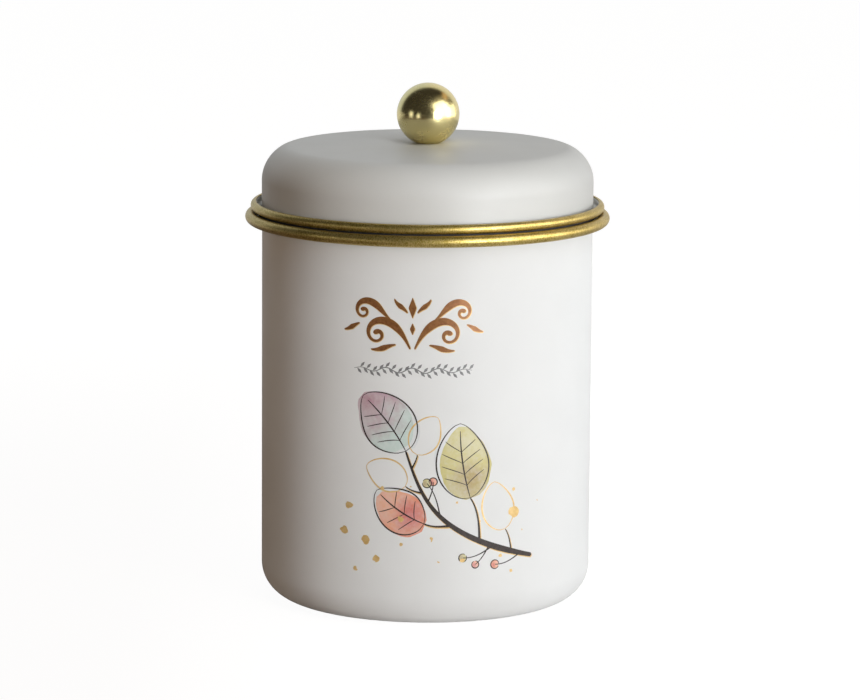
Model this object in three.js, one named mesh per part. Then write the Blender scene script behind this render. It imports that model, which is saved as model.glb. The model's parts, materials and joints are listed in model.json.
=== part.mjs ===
// Sugar canister: a drawn steel can with a domed lift-off lid, two rolled trim rings,
// a plug neck with a silicone seal, and a ball knob held by one screw.
// Millimetres, +Z up, origin at the centre of the base on the table.

import * as THREE from 'three';

// Turned pieces: one count of sides for all of them, so that nested facets line up
const sides = 48;
const knobSides = 36;
const fastenerSides = 24;
const degree = Math.PI / 180;

// Clearances
const restGap = 0.3;          // between pieces that rest on, wrap or are welded to each other
const threadGap = 0.15;       // between the screw and what is round it

// Can
const canRadius = 55;         // outside of the straight wall
const canSheet = 0.5;         // thickness of the steel
const rimHeight = 128.2;      // table to the middle of the sheet in the flared rim
const baseCorner = 11.35;     // outside radius where the wall turns into the base
const standWidth = 5.5;       // flat ring that touches the table
const recessDepth = 1.6;      // how far the base panel is pressed up
const recessRun = 3;          // width of the slope up to the panel
const recessBend = 2;         // bend radius at both ends of that slope
const flareBend = 0.7;        // bend radius under the flared rim
const flareReach = 3;         // wall to the raw edge of the flared rim

// Can trim ring, rolled closed over the raw edge of the flare
const canBeadReach = 3.7;     // wall to the middle of the ring's section
const canBeadRadius = 1.9;    // outside radius of the section
const beadWall = 0.4;         // thickness of both trim rings

// Lid, measured up from the underside of its brim
const lidProud = 0.1;         // how far its straight wall stands out past the can's
const lidSheet = 0.5;
const lidHeight = 22.2;       // underside of the brim to the flat top
const topFlat = 6.4;          // radius of the flat that the knob is clamped on
const crownDrop = 1.1;        // fall of the gently domed top
const shoulderRun = 9.2;      // width of the rounded shoulder
const shoulderDrop = 11.3;    // height of the rounded shoulder
const shoulderHandleShare = 0.5;
const brimBend = 0.6;         // bend radius from the wall to the brim
const gutterWidth = 1.65;     // wall to the inner face of the upturned lip
const lipBend = 0.5;          // bend radius from the brim to the lip

// Lid trim ring: a half round outside the lip, closed over the lip's raw edge
const lidBeadRadius = 1.55;
const lidBeadRise = 1.35;     // underside of the brim to the middle of the section
const lidBeadFrom = -80 * degree;
const lidBeadTo = 95 * degree;

// Plug neck, welded inside the lid wall
const neckSheet = 0.5;
const neckPlay = 1.9;         // bore of the can to the neck
const neckReach = 14.6;       // underside of the brim to the lower end
const weldHeight = 8.5;       // underside of the brim to the upper end
const joggleRise = 2;         // height of the step from the plug to the weld band
const joggleBend = 1;
const joggleBase = 0.4;       // underside of the brim to the foot of the step
const neckHem = 1.6;          // lower end turned inwards, out of the way of a hand
const neckHemBend = 0.8;

// Silicone seal: a band round the neck with wiper ribs, and a flange under the brim
const sealFlange = 1.55;      // thickness of the flange
const sealBand = 0.7;         // thickness of the band between the ribs
const sealHeight = 9;         // height of the band below the flange
const ribCount = 3;
const ribBase = 1.4;          // height of one rib where it leaves the band
const ribTip = 0.4;           // height of its flat tip

// Ball knob
const ballRadius = 10.4;
const ballSeat = 4;           // radius of the flat that sits on the lid
const knobHoleDepth = 9;
const drillPoint = 59 * degree;

// Screw and washers, under the lid
const screwRadius = 2;
const screwLength = 10;       // under the head to the tip
const screwTip = 0.6;         // chamfer on the tip
const headRadius = 4;
const headHeight = 2.6;
const headCrown = 0.7;        // part of the head's height that is domed
const lidHoleRadius = 2.3;
const washerRadius = 6;
const washerThickness = 1;
const springRadius = 3.8;     // outside of the split spring washer
const springThickness = 1.1;
const springSplit = 1;        // width of its split

// Sizes that follow from the ones above
const canBore = canRadius - canSheet;
const flareUnderside = rimHeight - canSheet / 2;
const flareTop = rimHeight + canSheet / 2;
const lidSeat = flareTop + sealFlange + 2 * restGap;
const lidRadius = canRadius + lidProud;
const crownRadius = lidRadius - shoulderRun;
const lipInner = lidRadius + gutterWidth;
const lipOuter = lipInner + lidSheet;
const lipHeight = lidBeadRise + lidBeadRadius - beadWall - restGap;
const brimMiddle = (lidRadius + lipOuter) / 2;
const weldRadius = lidRadius - lidSheet - restGap;
const neckRadius = canBore - neckPlay;
const sealInner = neckRadius + restGap;
const ribRadius = canBore - restGap;
const holeRadius = screwRadius + threadGap;
const ballMiddle = Math.sqrt(ballRadius ** 2 - ballSeat ** 2);
const clampStack = lidSheet + washerThickness + springThickness;

const point = (radius, height) => new THREE.Vector2(radius, height);

// Arc about a centre, with both of its ends
function arc(centre, radius, from, to, steps) {
  return Array.from({ length: steps + 1 }, (_, i) => {
    const angle = from + (to - from) * i / steps;
    return point(centre.x + radius * Math.cos(angle), centre.y + radius * Math.sin(angle));
  });
}

// Straight runs through the corners, each corner [radius, height, bend, steps] rounded by its bend
function bentLine(corners) {
  const at = corners.map(([radius, height]) => point(radius, height));
  return corners.flatMap(([, , bend, steps], i) => {
    if (!bend) return [at[i]];
    const back = at[i - 1].clone().sub(at[i]).normalize();
    const ahead = at[i + 1].clone().sub(at[i]).normalize();
    const half = back.angleTo(ahead) / 2;
    const centre = back.clone().add(ahead).setLength(bend / Math.sin(half)).add(at[i]);
    const turn = Math.PI - 2 * half;
    const start = back.clone().multiplyScalar(bend / Math.tan(half)).add(at[i]).sub(centre);
    const sense = Math.sign(ahead.cross(back));
    return Array.from({ length: steps + 1 }, (_, k) =>
      start.clone().rotateAround(point(0, 0), sense * turn * k / steps).add(centre));
  });
}

// The same line, moved sideways: a positive distance lies to the left of its direction
function offsetLine(line, distance) {
  const runs = line.slice(1).map((end, i) => end.clone().sub(line[i]).normalize());
  return line.map((corner, i) => {
    const before = runs[Math.max(i - 1, 0)];
    const after = runs[Math.min(i, runs.length - 1)];
    const mid = before.clone().add(after).normalize();
    const normal = point(-mid.y, mid.x);
    return normal.multiplyScalar(distance / mid.dot(after)).add(corner);
  });
}

// Section of a sheet whose visible face is the line: anticlockwise, so that faces point outwards
function sheetSection(face, thickness) {
  const back = offsetLine(face, thickness);
  return thickness > 0 ? [...face, ...back.toReversed()] : [...back, ...face.toReversed()];
}

// Section turned about the vertical axis, closed on itself unless both of its ends are on the axis
function turned(section, count = sides) {
  const last = section[section.length - 1];
  const onAxis = section[0].x === 0 && last.x === 0;
  const loop = onAxis ? section : [...section, section[0].clone()];
  return new THREE.LatheGeometry(loop, count).rotateX(Math.PI / 2);
}

// Rolled ring section: an open tube whose wall runs between two angles
function rolledSection(centre, radius, wall, from, to, outerSteps, innerSteps) {
  return [...arc(centre, radius, from, to, outerSteps),
    ...arc(centre, radius - wall, to, from, innerSteps)];
}

const materials = {
  canEnamel: new THREE.MeshStandardMaterial({ color: 0xebebe8, roughness: 0.5, metalness: 0 }),
  lidEnamel: new THREE.MeshStandardMaterial({ color: 0xd6d4ce, roughness: 0.5, metalness: 0 }),
  goldPaint: new THREE.MeshStandardMaterial({ color: 0xb89442, roughness: 0.38, metalness: 0.9 }),
  brass: new THREE.MeshStandardMaterial({ color: 0xcdb56f, roughness: 0.14, metalness: 1 }),
  tinplate: new THREE.MeshStandardMaterial({ color: 0xb9bbbd, roughness: 0.32, metalness: 1 }),
  zinc: new THREE.MeshStandardMaterial({ color: 0xa9adb2, roughness: 0.3, metalness: 1 }),
  silicone: new THREE.MeshStandardMaterial({ color: 0x4a4b4d, roughness: 0.6, metalness: 0 }),
};

function piece(name, geometry, material) {
  const mesh = new THREE.Mesh(geometry, material);
  mesh.name = name;
  return mesh;
}

// One-piece drawn can: recessed base panel, standing ring, rounded corner, wall and flared rim
function bodyShell() {
  const standOuter = canRadius - baseCorner;
  const standInner = standOuter - standWidth;
  const outside = bentLine([
    [0, recessDepth],
    [standInner - recessRun, recessDepth, recessBend, 2],
    [standInner, 0, recessBend, 2],
    [canRadius, 0, baseCorner, 6],
    [canRadius, flareUnderside, flareBend, 2],
    [canRadius + flareReach, flareUnderside],
  ]);
  return piece('body_shell', turned(sheetSection(outside, canSheet)), materials.canEnamel);
}

// Trim ring on the can: a rolled tube, open on the inside where the flare enters it
function bodyRimRing() {
  const slot = Math.asin((canSheet / 2 + restGap) / (canBeadRadius - beadWall));
  const middle = point(canRadius + canBeadReach, rimHeight);
  const section = rolledSection(middle, canBeadRadius, beadWall, slot - Math.PI, Math.PI - slot, 10, 5);
  return piece('body_rim_ring', turned(section), materials.goldPaint);
}

// Pressed lid: clamping flat, domed top, rounded shoulder, wall, brim and upturned lip
function lidShell() {
  const shoulderTop = lidHeight - crownDrop;
  const shoulderFoot = shoulderTop - shoulderDrop;
  const crownSlope = 2 * crownDrop / (crownRadius - topFlat);
  const handleRun = shoulderRun * shoulderHandleShare;
  const handleDrop = shoulderDrop * shoulderHandleShare;
  const dome = new THREE.Path()
    .moveTo(topFlat, lidHeight)
    .quadraticCurveTo((topFlat + crownRadius) / 2, lidHeight, crownRadius, shoulderTop);
  const shoulder = new THREE.Path()
    .moveTo(crownRadius, shoulderTop)
    .bezierCurveTo(crownRadius + handleRun, shoulderTop - handleRun * crownSlope,
      lidRadius, shoulderFoot + handleDrop, lidRadius, shoulderFoot);
  const skirt = bentLine([
    [lidRadius, shoulderFoot],
    [lidRadius, lidSheet, brimBend, 2],
    [lipInner, lidSheet, lipBend, 2],
    [lipInner, lipHeight],
  ]);
  const face = [point(lidHoleRadius, lidHeight), ...dome.getPoints(3), ...shoulder.getPoints(6).slice(1),
    ...skirt.slice(1)];
  return piece('lid_shell', turned(sheetSection(face, -lidSheet)), materials.lidEnamel);
}

// Trim ring on the lid: hooked under the brim, round the outside and over the lip's edge
function lidRimRing() {
  const middle = point(lipOuter, lidBeadRise);
  const section = rolledSection(middle, lidBeadRadius, beadWall, lidBeadFrom, lidBeadTo, 8, 4);
  return piece('lid_rim_ring', turned(section), materials.goldPaint);
}

// Plug neck: weld band inside the lid wall, joggle, straight plug and a hemmed lower end
function lidNeck() {
  const outside = bentLine([
    [neckRadius - neckHem, -neckReach],
    [neckRadius, -neckReach, neckHemBend, 1],
    [neckRadius, joggleBase, joggleBend, 1],
    [weldRadius, joggleBase + joggleRise, joggleBend, 1],
    [weldRadius, weldHeight],
  ]);
  return piece('lid_neck', turned(sheetSection(outside, neckSheet)), materials.tinplate);
}

// Seal: flange under the brim, band round the neck, and ribs that wipe the bore of the can
function sealGasket() {
  const flangeTop = -restGap;
  const bandTop = flangeTop - sealFlange;
  const bandBottom = bandTop - sealHeight;
  const bandRadius = sealInner + sealBand;
  const pitch = sealHeight / ribCount;
  const ribs = Array.from({ length: ribCount }, (_, i) => {
    const middle = bandBottom + pitch * (i + 1 / 2);
    return [point(bandRadius, middle - ribBase / 2), point(ribRadius, middle - ribTip / 2),
      point(ribRadius, middle + ribTip / 2), point(bandRadius, middle + ribBase / 2)];
  }).flat();
  const section = [point(sealInner, bandBottom), point(bandRadius, bandBottom), ...ribs,
    point(bandRadius, bandTop), point(brimMiddle, bandTop), point(brimMiddle, flangeTop),
    point(sealInner, flangeTop)];
  return piece('seal_gasket', turned(section), materials.silicone);
}

// Ball with a flat seat and a blind tapped hole, measured up from the seat
function knobBall() {
  const middle = point(0, ballMiddle);
  const seatAngle = -Math.acos(ballSeat / ballRadius);
  const ball = arc(middle, ballRadius, seatAngle, Math.PI / 2, 14);
  ball[ball.length - 1].x = 0;
  const drillTip = knobHoleDepth + holeRadius / Math.tan(drillPoint);
  const section = [point(0, drillTip), point(holeRadius, knobHoleDepth), point(holeRadius, 0), ...ball];
  return piece('knob_ball', turned(section, knobSides), materials.brass);
}

// Pan-head screw, with the underside of its head below the clamped stack
function knobScrew() {
  const seat = -clampStack;
  const tip = seat + screwLength;
  const section = [point(0, seat - headHeight), point(headRadius - headCrown, seat - headHeight),
    point(headRadius, seat - headHeight + headCrown), point(headRadius, seat), point(screwRadius, seat),
    point(screwRadius, tip - screwTip), point(screwRadius - screwTip, tip), point(0, tip)];
  return piece('knob_screw', turned(section, fastenerSides), materials.zinc);
}

// Plain washer, flat against the inside of the lid
function knobWasher() {
  const top = -lidSheet;
  const bottom = top - washerThickness;
  const section = [point(holeRadius, bottom), point(washerRadius, bottom), point(washerRadius, top),
    point(holeRadius, top)];
  return piece('knob_washer', turned(section, fastenerSides), materials.zinc);
}

// Split spring washer, pressed flat between the plain washer and the screw head
function knobSpringWasher() {
  const outerHalf = Math.asin(springSplit / 2 / springRadius);
  const innerHalf = Math.asin(springSplit / 2 / holeRadius);
  const outline = new THREE.Shape()
    .absarc(0, 0, springRadius, outerHalf, 2 * Math.PI - outerHalf, false)
    .absarc(0, 0, holeRadius, 2 * Math.PI - innerHalf, innerHalf, true);
  const geometry = new THREE.ExtrudeGeometry(outline, {
    depth: springThickness,
    bevelEnabled: false,
    curveSegments: fastenerSides / 2,
  });
  const mesh = piece('knob_spring_washer', geometry, materials.zinc);
  mesh.position.z = -clampStack;
  return mesh;
}

// Can, with the lid on its seat and the knob clamped through the top of the lid
const knob = new THREE.Group();
knob.position.z = lidHeight;
knob.add(knobBall(), knobScrew(), knobWasher(), knobSpringWasher());

const lid = new THREE.Group();
lid.position.z = lidSeat;
lid.add(lidShell(), lidRimRing(), lidNeck(), sealGasket(), knob);

const canister = new THREE.Group();
canister.add(bodyShell(), bodyRimRing(), lid);

export default canister;
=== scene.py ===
"""Looks of a sugar canister: painted can and lid, gold trim rings, brass knob and a printed spray.

Sizes in the fields are millimetres and become metres where a mesh is made.
"""

import json
import logging
import math
from collections.abc import Iterable, Sequence
from dataclasses import dataclass, field, replace
from enum import Enum

import bmesh
import bpy
import numpy as np
from mathutils import Matrix, Vector


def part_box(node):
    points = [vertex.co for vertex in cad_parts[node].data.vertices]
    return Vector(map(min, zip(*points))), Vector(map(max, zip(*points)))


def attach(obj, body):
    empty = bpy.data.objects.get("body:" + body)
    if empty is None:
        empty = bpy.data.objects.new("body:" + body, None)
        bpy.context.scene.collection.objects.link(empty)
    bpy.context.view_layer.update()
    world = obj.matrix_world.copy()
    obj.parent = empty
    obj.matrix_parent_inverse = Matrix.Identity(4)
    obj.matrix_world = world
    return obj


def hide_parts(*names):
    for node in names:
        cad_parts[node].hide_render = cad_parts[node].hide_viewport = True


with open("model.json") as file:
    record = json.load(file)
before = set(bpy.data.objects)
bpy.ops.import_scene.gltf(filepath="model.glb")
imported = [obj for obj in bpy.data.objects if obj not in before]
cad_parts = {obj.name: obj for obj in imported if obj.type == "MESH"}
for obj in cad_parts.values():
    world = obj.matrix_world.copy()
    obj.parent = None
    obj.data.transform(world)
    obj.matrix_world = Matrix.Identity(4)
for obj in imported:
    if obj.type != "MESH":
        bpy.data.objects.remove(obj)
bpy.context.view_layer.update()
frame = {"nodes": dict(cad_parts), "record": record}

LOG = logging.getLogger("canister")

Point = tuple[float, float]
Line = list[Point]
Colour = tuple[float, float, float]
Key = str | int
Wire = tuple[Key, object]
Socket = bpy.types.NodeSocket
Material = bpy.types.Material
Piece = bpy.types.Object

MM = 0.001
WELD = 0.0005 * MM
SIDES = 192
FINE_SIDES = 256
WHITE: Colour = (1.0, 1.0, 1.0)
CAN_WHITE: Colour = (0.80, 0.80, 0.79)
# Low and high level of a noise between which a colour or a gloss changes
NARROW: Point = (0.35, 0.65)
BROAD: Point = (0.3, 0.7)


class Body(Enum):
    """The two bodies that a piece can ride on."""

    CAN = "canister"
    LID = "lid"


class Reach(Enum):
    """What a lamp acts on: everything, only the dull light, or only the mirrored light."""

    ALL = "all"
    DULL = "dull"
    MIRRORED = "mirrored"


class Layer(Enum):
    """Height of an ink film above the enamel, in micrometres, in the order of printing."""

    WASH = 8
    TINT = 14
    GILT = 22
    INK = 30
    FLECK = 38


# Flat geometry of the turned sections


def arc(centre: Point, radius: float, start: float, stop: float, steps: int) -> Line:
    """Points of an arc, with both of its ends.

    Args:
        centre: Centre of the arc.
        radius: Its radius.
        start: First angle in degrees, anticlockwise from the outward direction.
        stop: Last angle in degrees.
        steps: Number of chords.

    Returns:
        The points from start to stop.
    """
    angles = (math.radians(start + (stop - start) * i / steps) for i in range(steps + 1))
    return [(centre[0] + radius * math.cos(a), centre[1] + radius * math.sin(a)) for a in angles]


def cubic(start: Point, first: Point, second: Point, stop: Point, steps: int) -> Line:
    """Points of a cubic curve, without its start.

    Args:
        start: Start of the curve.
        first: Handle of the start.
        second: Handle of the end.
        stop: End of the curve.
        steps: Number of chords.

    Returns:
        The points that follow start, up to stop.
    """
    handles = (start, first, second, stop)
    made: Line = []
    for i in range(1, steps + 1):
        t = i / steps
        weights = ((1 - t) ** 3, 3 * t * (1 - t) ** 2, 3 * t * t * (1 - t), t ** 3)
        made.append(tuple(sum(w * p[k] for w, p in zip(weights, handles)) for k in (0, 1)))
    return made


def bent_line(corners: Sequence[tuple[float, float, float]], chord: float) -> Line:
    """Straight runs through corners that are rounded by a bend radius.

    Args:
        corners: Radius, height and bend radius of each corner; a bend of 0 keeps it sharp.
        chord: Largest turn of one chord in degrees.

    Returns:
        The points of the line.
    """
    line: Line = []
    for i, (radius, height, bend) in enumerate(corners):
        here = Vector((radius, height))
        if not bend:
            line.append((radius, height))
            continue
        back = (Vector(corners[i - 1][:2]) - here).normalized()
        ahead = (Vector(corners[i + 1][:2]) - here).normalized()
        half = back.angle(ahead) / 2
        centre = here + (back + ahead).normalized() * (bend / math.sin(half))
        spoke = here + back * (bend / math.tan(half)) - centre
        turn = math.pi - 2 * half
        sense = 1 if back.y * ahead.x - back.x * ahead.y > 0 else -1
        steps = max(3, round(math.degrees(turn) / chord))
        for k in range(steps + 1):
            spot = centre + Matrix.Rotation(sense * turn * k / steps, 2) @ spoke
            line.append((spot.x, spot.y))
    return line


def offset_line(line: Line, distance: float) -> Line:
    """The line moved sideways; a positive distance lies to the left of its direction.

    Args:
        line: The points to follow.
        distance: How far the new line lies from it.

    Returns:
        As many points as the line has.
    """
    runs = [(Vector(b) - Vector(a)).normalized() for a, b in zip(line, line[1:])]
    moved: Line = []
    for i, spot in enumerate(line):
        before, after = runs[max(i - 1, 0)], runs[min(i, len(runs) - 1)]
        mid = (before + after).normalized()
        spot = Vector(spot) + Vector((-mid.y, mid.x)) * (distance / mid.dot(after))
        moved.append((spot.x, spot.y))
    return moved


def round_edge(start: Point, stop: Point, steps: int = 6) -> Line:
    """Half circle over the raw edge of a sheet, without its two ends.

    Args:
        start: Last point of one face.
        stop: First point of the other face.
        steps: Number of chords.

    Returns:
        The points between start and stop, to the right of the way from start to stop.
    """
    a, b = Vector(start), Vector(stop)
    middle, spoke = (a + b) / 2, (a - b) / 2
    spots = (middle + Matrix.Rotation(math.pi * k / steps, 2) @ spoke for k in range(1, steps))
    return [(s.x, s.y) for s in spots]


def sheet_section(face: Line, thickness: float, start_round: bool = True) -> Line:
    """Closed section of a bent sheet whose raw edges are rounded.

    Args:
        face: The visible face.
        thickness: Thickness of the sheet, positive to the left of the face's direction.
        start_round: Whether the face starts at a raw edge, and not on the axis.

    Returns:
        The section, with its first point repeated at the end unless it starts on the axis.
    """
    back = offset_line(face, thickness)
    if thickness < 0:
        face, back = back, face
    loop = face + round_edge(face[-1], back[-1]) + back[::-1]
    return loop + round_edge(back[0], face[0]) + face[:1] if start_round else loop


def rolled_section(middle: Point, radius: float, wall: float, start: float, stop: float,
        chords: tuple[int, int]) -> Line:
    """Closed section of a strip that is rolled into an open tube.

    Args:
        middle: Centre of the tube.
        radius: Its outer radius.
        wall: Thickness of the strip.
        start: Angle of one raw edge in degrees.
        stop: Angle of the other raw edge.
        chords: Number of chords of the outer and of the inner face.

    Returns:
        The section, with its first point repeated at the end.
    """
    outer = arc(middle, radius, start, stop, chords[0])
    inner = arc(middle, radius - wall, stop, start, chords[1])
    return outer + round_edge(outer[-1], inner[0]) + inner + round_edge(inner[-1], outer[0]) + outer[:1]


# Node trees


class Board:
    """A node tree that is being wired, for a material, for the world or for geometry."""

    def __init__(self, tree: bpy.types.NodeTree) -> None:
        """Keeps the tree that nodes are put on."""
        self.tree = tree

    @staticmethod
    def pick(sockets: Iterable[Socket], key: Key) -> Socket:
        """The socket with that index, or the first one in use with that name."""
        named = (s for s in sockets if s.name == key and s.enabled)
        return sockets[key] if isinstance(key, int) else next(named)

    def put(self, kind: str, *wires: Wire, **settings: object) -> bpy.types.Node:
        """Adds a node.

        Args:
            kind: The node's type.
            wires: Pairs of an input and the socket or value that it takes.
            settings: Properties of the node.

        Returns:
            The new node.
        """
        node = self.tree.nodes.new(kind)
        for key, value in settings.items():
            setattr(node, key, value)
        for key, value in wires:
            socket = self.pick(node.inputs, key)
            if isinstance(value, Socket):
                self.tree.links.new(value, socket)
            else:
                socket.default_value = value
        return node

    def out(self, kind: str, *wires: Wire, get: Key = 0, **settings: object) -> Socket:
        """Adds a node in the same way, and returns the output with that name or index."""
        return self.pick(self.put(kind, *wires, **settings).outputs, get)

    def split(self, vector: Socket) -> Sequence[Socket]:
        """The three parts of a vector."""
        return self.put("ShaderNodeSeparateXYZ", (0, vector)).outputs

    def calc(self, operation: str, *terms: object) -> Socket:
        """A Math node on one to three terms."""
        return self.out("ShaderNodeMath", *enumerate(terms), operation=operation)

    def add(self, first: object, second: object) -> Socket:
        """One number plus another."""
        return self.calc("ADD", first, second)

    def less(self, first: object, second: object) -> Socket:
        """One number less another."""
        return self.calc("SUBTRACT", first, second)

    def times(self, first: object, second: object) -> Socket:
        """One number times another."""
        return self.calc("MULTIPLY", first, second)

    def span(self, value: Socket, low: float, high: float, to_low: object = 0.0,
            to_high: object = 1.0) -> Socket:
        """Maps a range onto another, clamped."""
        return self.out("ShaderNodeMapRange", ("Value", value), ("From Min", low), ("From Max", high),
            ("To Min", to_low), ("To Max", to_high))

    def ramp(self, value: Socket, start: float, stop: float) -> Socket:
        """A soft step from 0 to 1."""
        return self.out("ShaderNodeMapRange", ("Value", value), ("From Min", start), ("From Max", stop),
            interpolation_type="SMOOTHSTEP")

    def blend(self, share: Socket, first: object, second: object) -> Socket:
        """Mixes two colours."""
        first, second = ((*c, 1.0) if isinstance(c, tuple) else c for c in (first, second))
        return self.out("ShaderNodeMix", (0, share), (6, first), (7, second), get=2, data_type="RGBA")

    def seen_directly(self) -> Socket:
        """Whether a ray comes straight from the camera or through clear material."""
        paths = self.put("ShaderNodeLightPath").outputs
        return self.calc("MAXIMUM", paths["Is Camera Ray"], paths["Is Transmission Ray"])


class Tree(Board):
    """A Geometry Nodes tree with named inputs, which ends in Realize Instances and Set Material."""

    def __init__(self, name: str) -> None:
        """Makes the tree with its geometry input, its material input and its output.

        Args:
            name: Name of the tree.
        """
        super().__init__(bpy.data.node_groups.new(name, "GeometryNodeTree"))
        self.tree.interface.new_socket("Geometry", in_out="OUTPUT", socket_type="NodeSocketGeometry")
        self.entry = self.tree.nodes.new("NodeGroupInput")
        self.source = self.ask("Source", kind="NodeSocketGeometry")
        self.finish = self.ask("Finish", kind="NodeSocketMaterial")

    def ask(self, name: str, value: object = None, kind: str = "NodeSocketFloat") -> Socket:
        """Adds a named input.

        Args:
            name: Name of the input.
            value: Its default.
            kind: Type of its socket.

        Returns:
            The socket that gives the input's value inside the tree.
        """
        item = self.tree.interface.new_socket(name, in_out="INPUT", socket_type=kind)
        if value is not None:
            item.default_value = value
        return self.entry.outputs[name]

    def here(self) -> Sequence[Socket]:
        """The three parts of a point's position."""
        return self.split(self.out("GeometryNodeInputPosition"))

    def vector(self, x: object, y: object, z: object) -> Socket:
        """A vector of three numbers or sockets."""
        return self.out("ShaderNodeCombineXYZ", (0, x), (1, y), (2, z))

    def place(self, geometry: Socket, x: object, y: object, z: object) -> Socket:
        """Puts each point at a place of its own."""
        spot = self.vector(x, y, z)
        return self.out("GeometryNodeSetPosition", ("Geometry", geometry), ("Position", spot))

    def shade(self, geometry: Socket, smooth: bool) -> Socket:
        """Shades every face smooth or flat."""
        return self.out("GeometryNodeSetShadeSmooth", ("Geometry", geometry), ("Shade Smooth", smooth),
            domain="FACE")

    def weld(self, geometry: Socket) -> Socket:
        """Joins the points that lie on each other."""
        return self.out("GeometryNodeMergeByDistance", ("Geometry", geometry), ("Distance", WELD))

    def disc(self, corners: int, radius: float) -> Socket:
        """A flat filled circle."""
        return self.out("GeometryNodeMeshCircle", ("Vertices", corners), ("Radius", radius),
            fill_type="NGON")

    def chance(self, low: float, high: float, seed: object) -> Socket:
        """A number drawn for each point."""
        return self.out("FunctionNodeRandomValue", ("Min", low), ("Max", high), ("Seed", seed),
            get="Value", data_type="FLOAT")

    def sow(self, points: Socket, shape: Socket, turn: Socket, long: Socket, wide: Socket) -> Socket:
        """Puts a flat shape on each point, turned and sized.

        Args:
            points: The points.
            shape: The shape, of unit size.
            turn: Its angle.
            long: Its size along its own length.
            wide: Its size across.

        Returns:
            The copies as real geometry.
        """
        copies = self.out("GeometryNodeInstanceOnPoints", ("Points", points), ("Instance", shape),
            ("Rotation", self.vector(0.0, 0.0, turn)), ("Scale", self.vector(long, wide, 1.0)))
        return self.out("GeometryNodeRealizeInstances", (0, copies))

    def close(self, geometry: Socket) -> None:
        """Ends the tree.

        Args:
            geometry: What the tree has made.
        """
        real = self.out("GeometryNodeRealizeInstances", (0, geometry))
        dressed = self.out("GeometryNodeSetMaterial", ("Geometry", real), ("Material", self.finish))
        self.put("NodeGroupOutput", (0, dressed))

    def run(self, source: Piece, name: str, finish: Material, **values: object) -> Piece:
        """Runs the tree on an object and keeps the result as a plain mesh.

        Args:
            source: Object that carries the input; it is used up.
            name: Name of the piece.
            finish: Its material.
            values: Values of the tree's inputs, with _ for a space in their names.

        Returns:
            The piece, at the origin, with its faces outwards.
        """
        modifier = source.modifiers.new(name, "NODES")
        modifier.node_group = self.tree
        values["Finish"] = finish
        for item in self.tree.interface.items_tree:
            key = item.name.replace(" ", "_")
            if item.item_type == "SOCKET" and item.in_out == "INPUT" and key in values:
                modifier[item.identifier] = values[key]
        source.update_tag()
        graph = bpy.context.evaluated_depsgraph_get()
        mesh = bpy.data.meshes.new_from_object(source.evaluated_get(graph), preserve_all_data_layers=True,
            depsgraph=graph)
        source.modifiers.remove(modifier)
        bpy.data.objects.remove(source)
        mesh.name = name
        face_outwards(mesh)
        return link_object(name, mesh)


def link_object(name: str, data: bpy.types.ID) -> Piece:
    """Makes an object for a mesh, a curve, a lamp or a camera and links it to the scene.

    Args:
        name: Name of the object.
        data: What it holds.

    Returns:
        The object.
    """
    made = bpy.data.objects.new(name, data)
    bpy.context.scene.collection.objects.link(made)
    return made


def link_mesh(name: str, points: Sequence[Sequence[float]], faces: Sequence[Sequence[int]] = ()) -> Piece:
    """Makes a mesh object from millimetres.

    Args:
        name: Name of the object.
        points: Three coordinates each, in millimetres.
        faces: The numbers of each face's points.

    Returns:
        The object, linked to the scene.
    """
    mesh = bpy.data.meshes.new(name)
    mesh.from_pydata([tuple(c * MM for c in p) for p in points], (), faces)
    return link_object(name, mesh)


def face_outwards(mesh: bpy.types.Mesh) -> None:
    """Turns the faces round if the closed mesh has its inside out.

    Args:
        mesh: The mesh to look at.
    """
    work = bmesh.new()
    work.from_mesh(mesh)
    if work.calc_volume(signed=True) < 0:
        bmesh.ops.reverse_faces(work, faces=work.faces)
        work.to_mesh(mesh)
    work.free()


def join_meshes(first: Piece, second: Piece) -> None:
    """Adds the mesh of the second object to the first one, and removes that object.

    Args:
        first: The object that is kept.
        second: The object that is used up.
    """
    work = bmesh.new()
    for part in (first, second):
        work.from_mesh(part.data)
    work.to_mesh(first.data)
    work.free()
    bpy.data.objects.remove(second)


def settle(piece: Piece, body: Body, slot: str, *nodes: str) -> None:
    """Puts a finished piece on its body and reports it.

    Args:
        piece: The piece, in place.
        body: The body that it rides on.
        slot: The record's material slot; not used.
        nodes: CAD nodes that it stands for.
    """
    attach(piece, body.value)
    if nodes:
        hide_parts(*nodes)
    LOG.info("%s: %d faces on %s", piece.name, len(piece.data.polygons), body.value)


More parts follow.
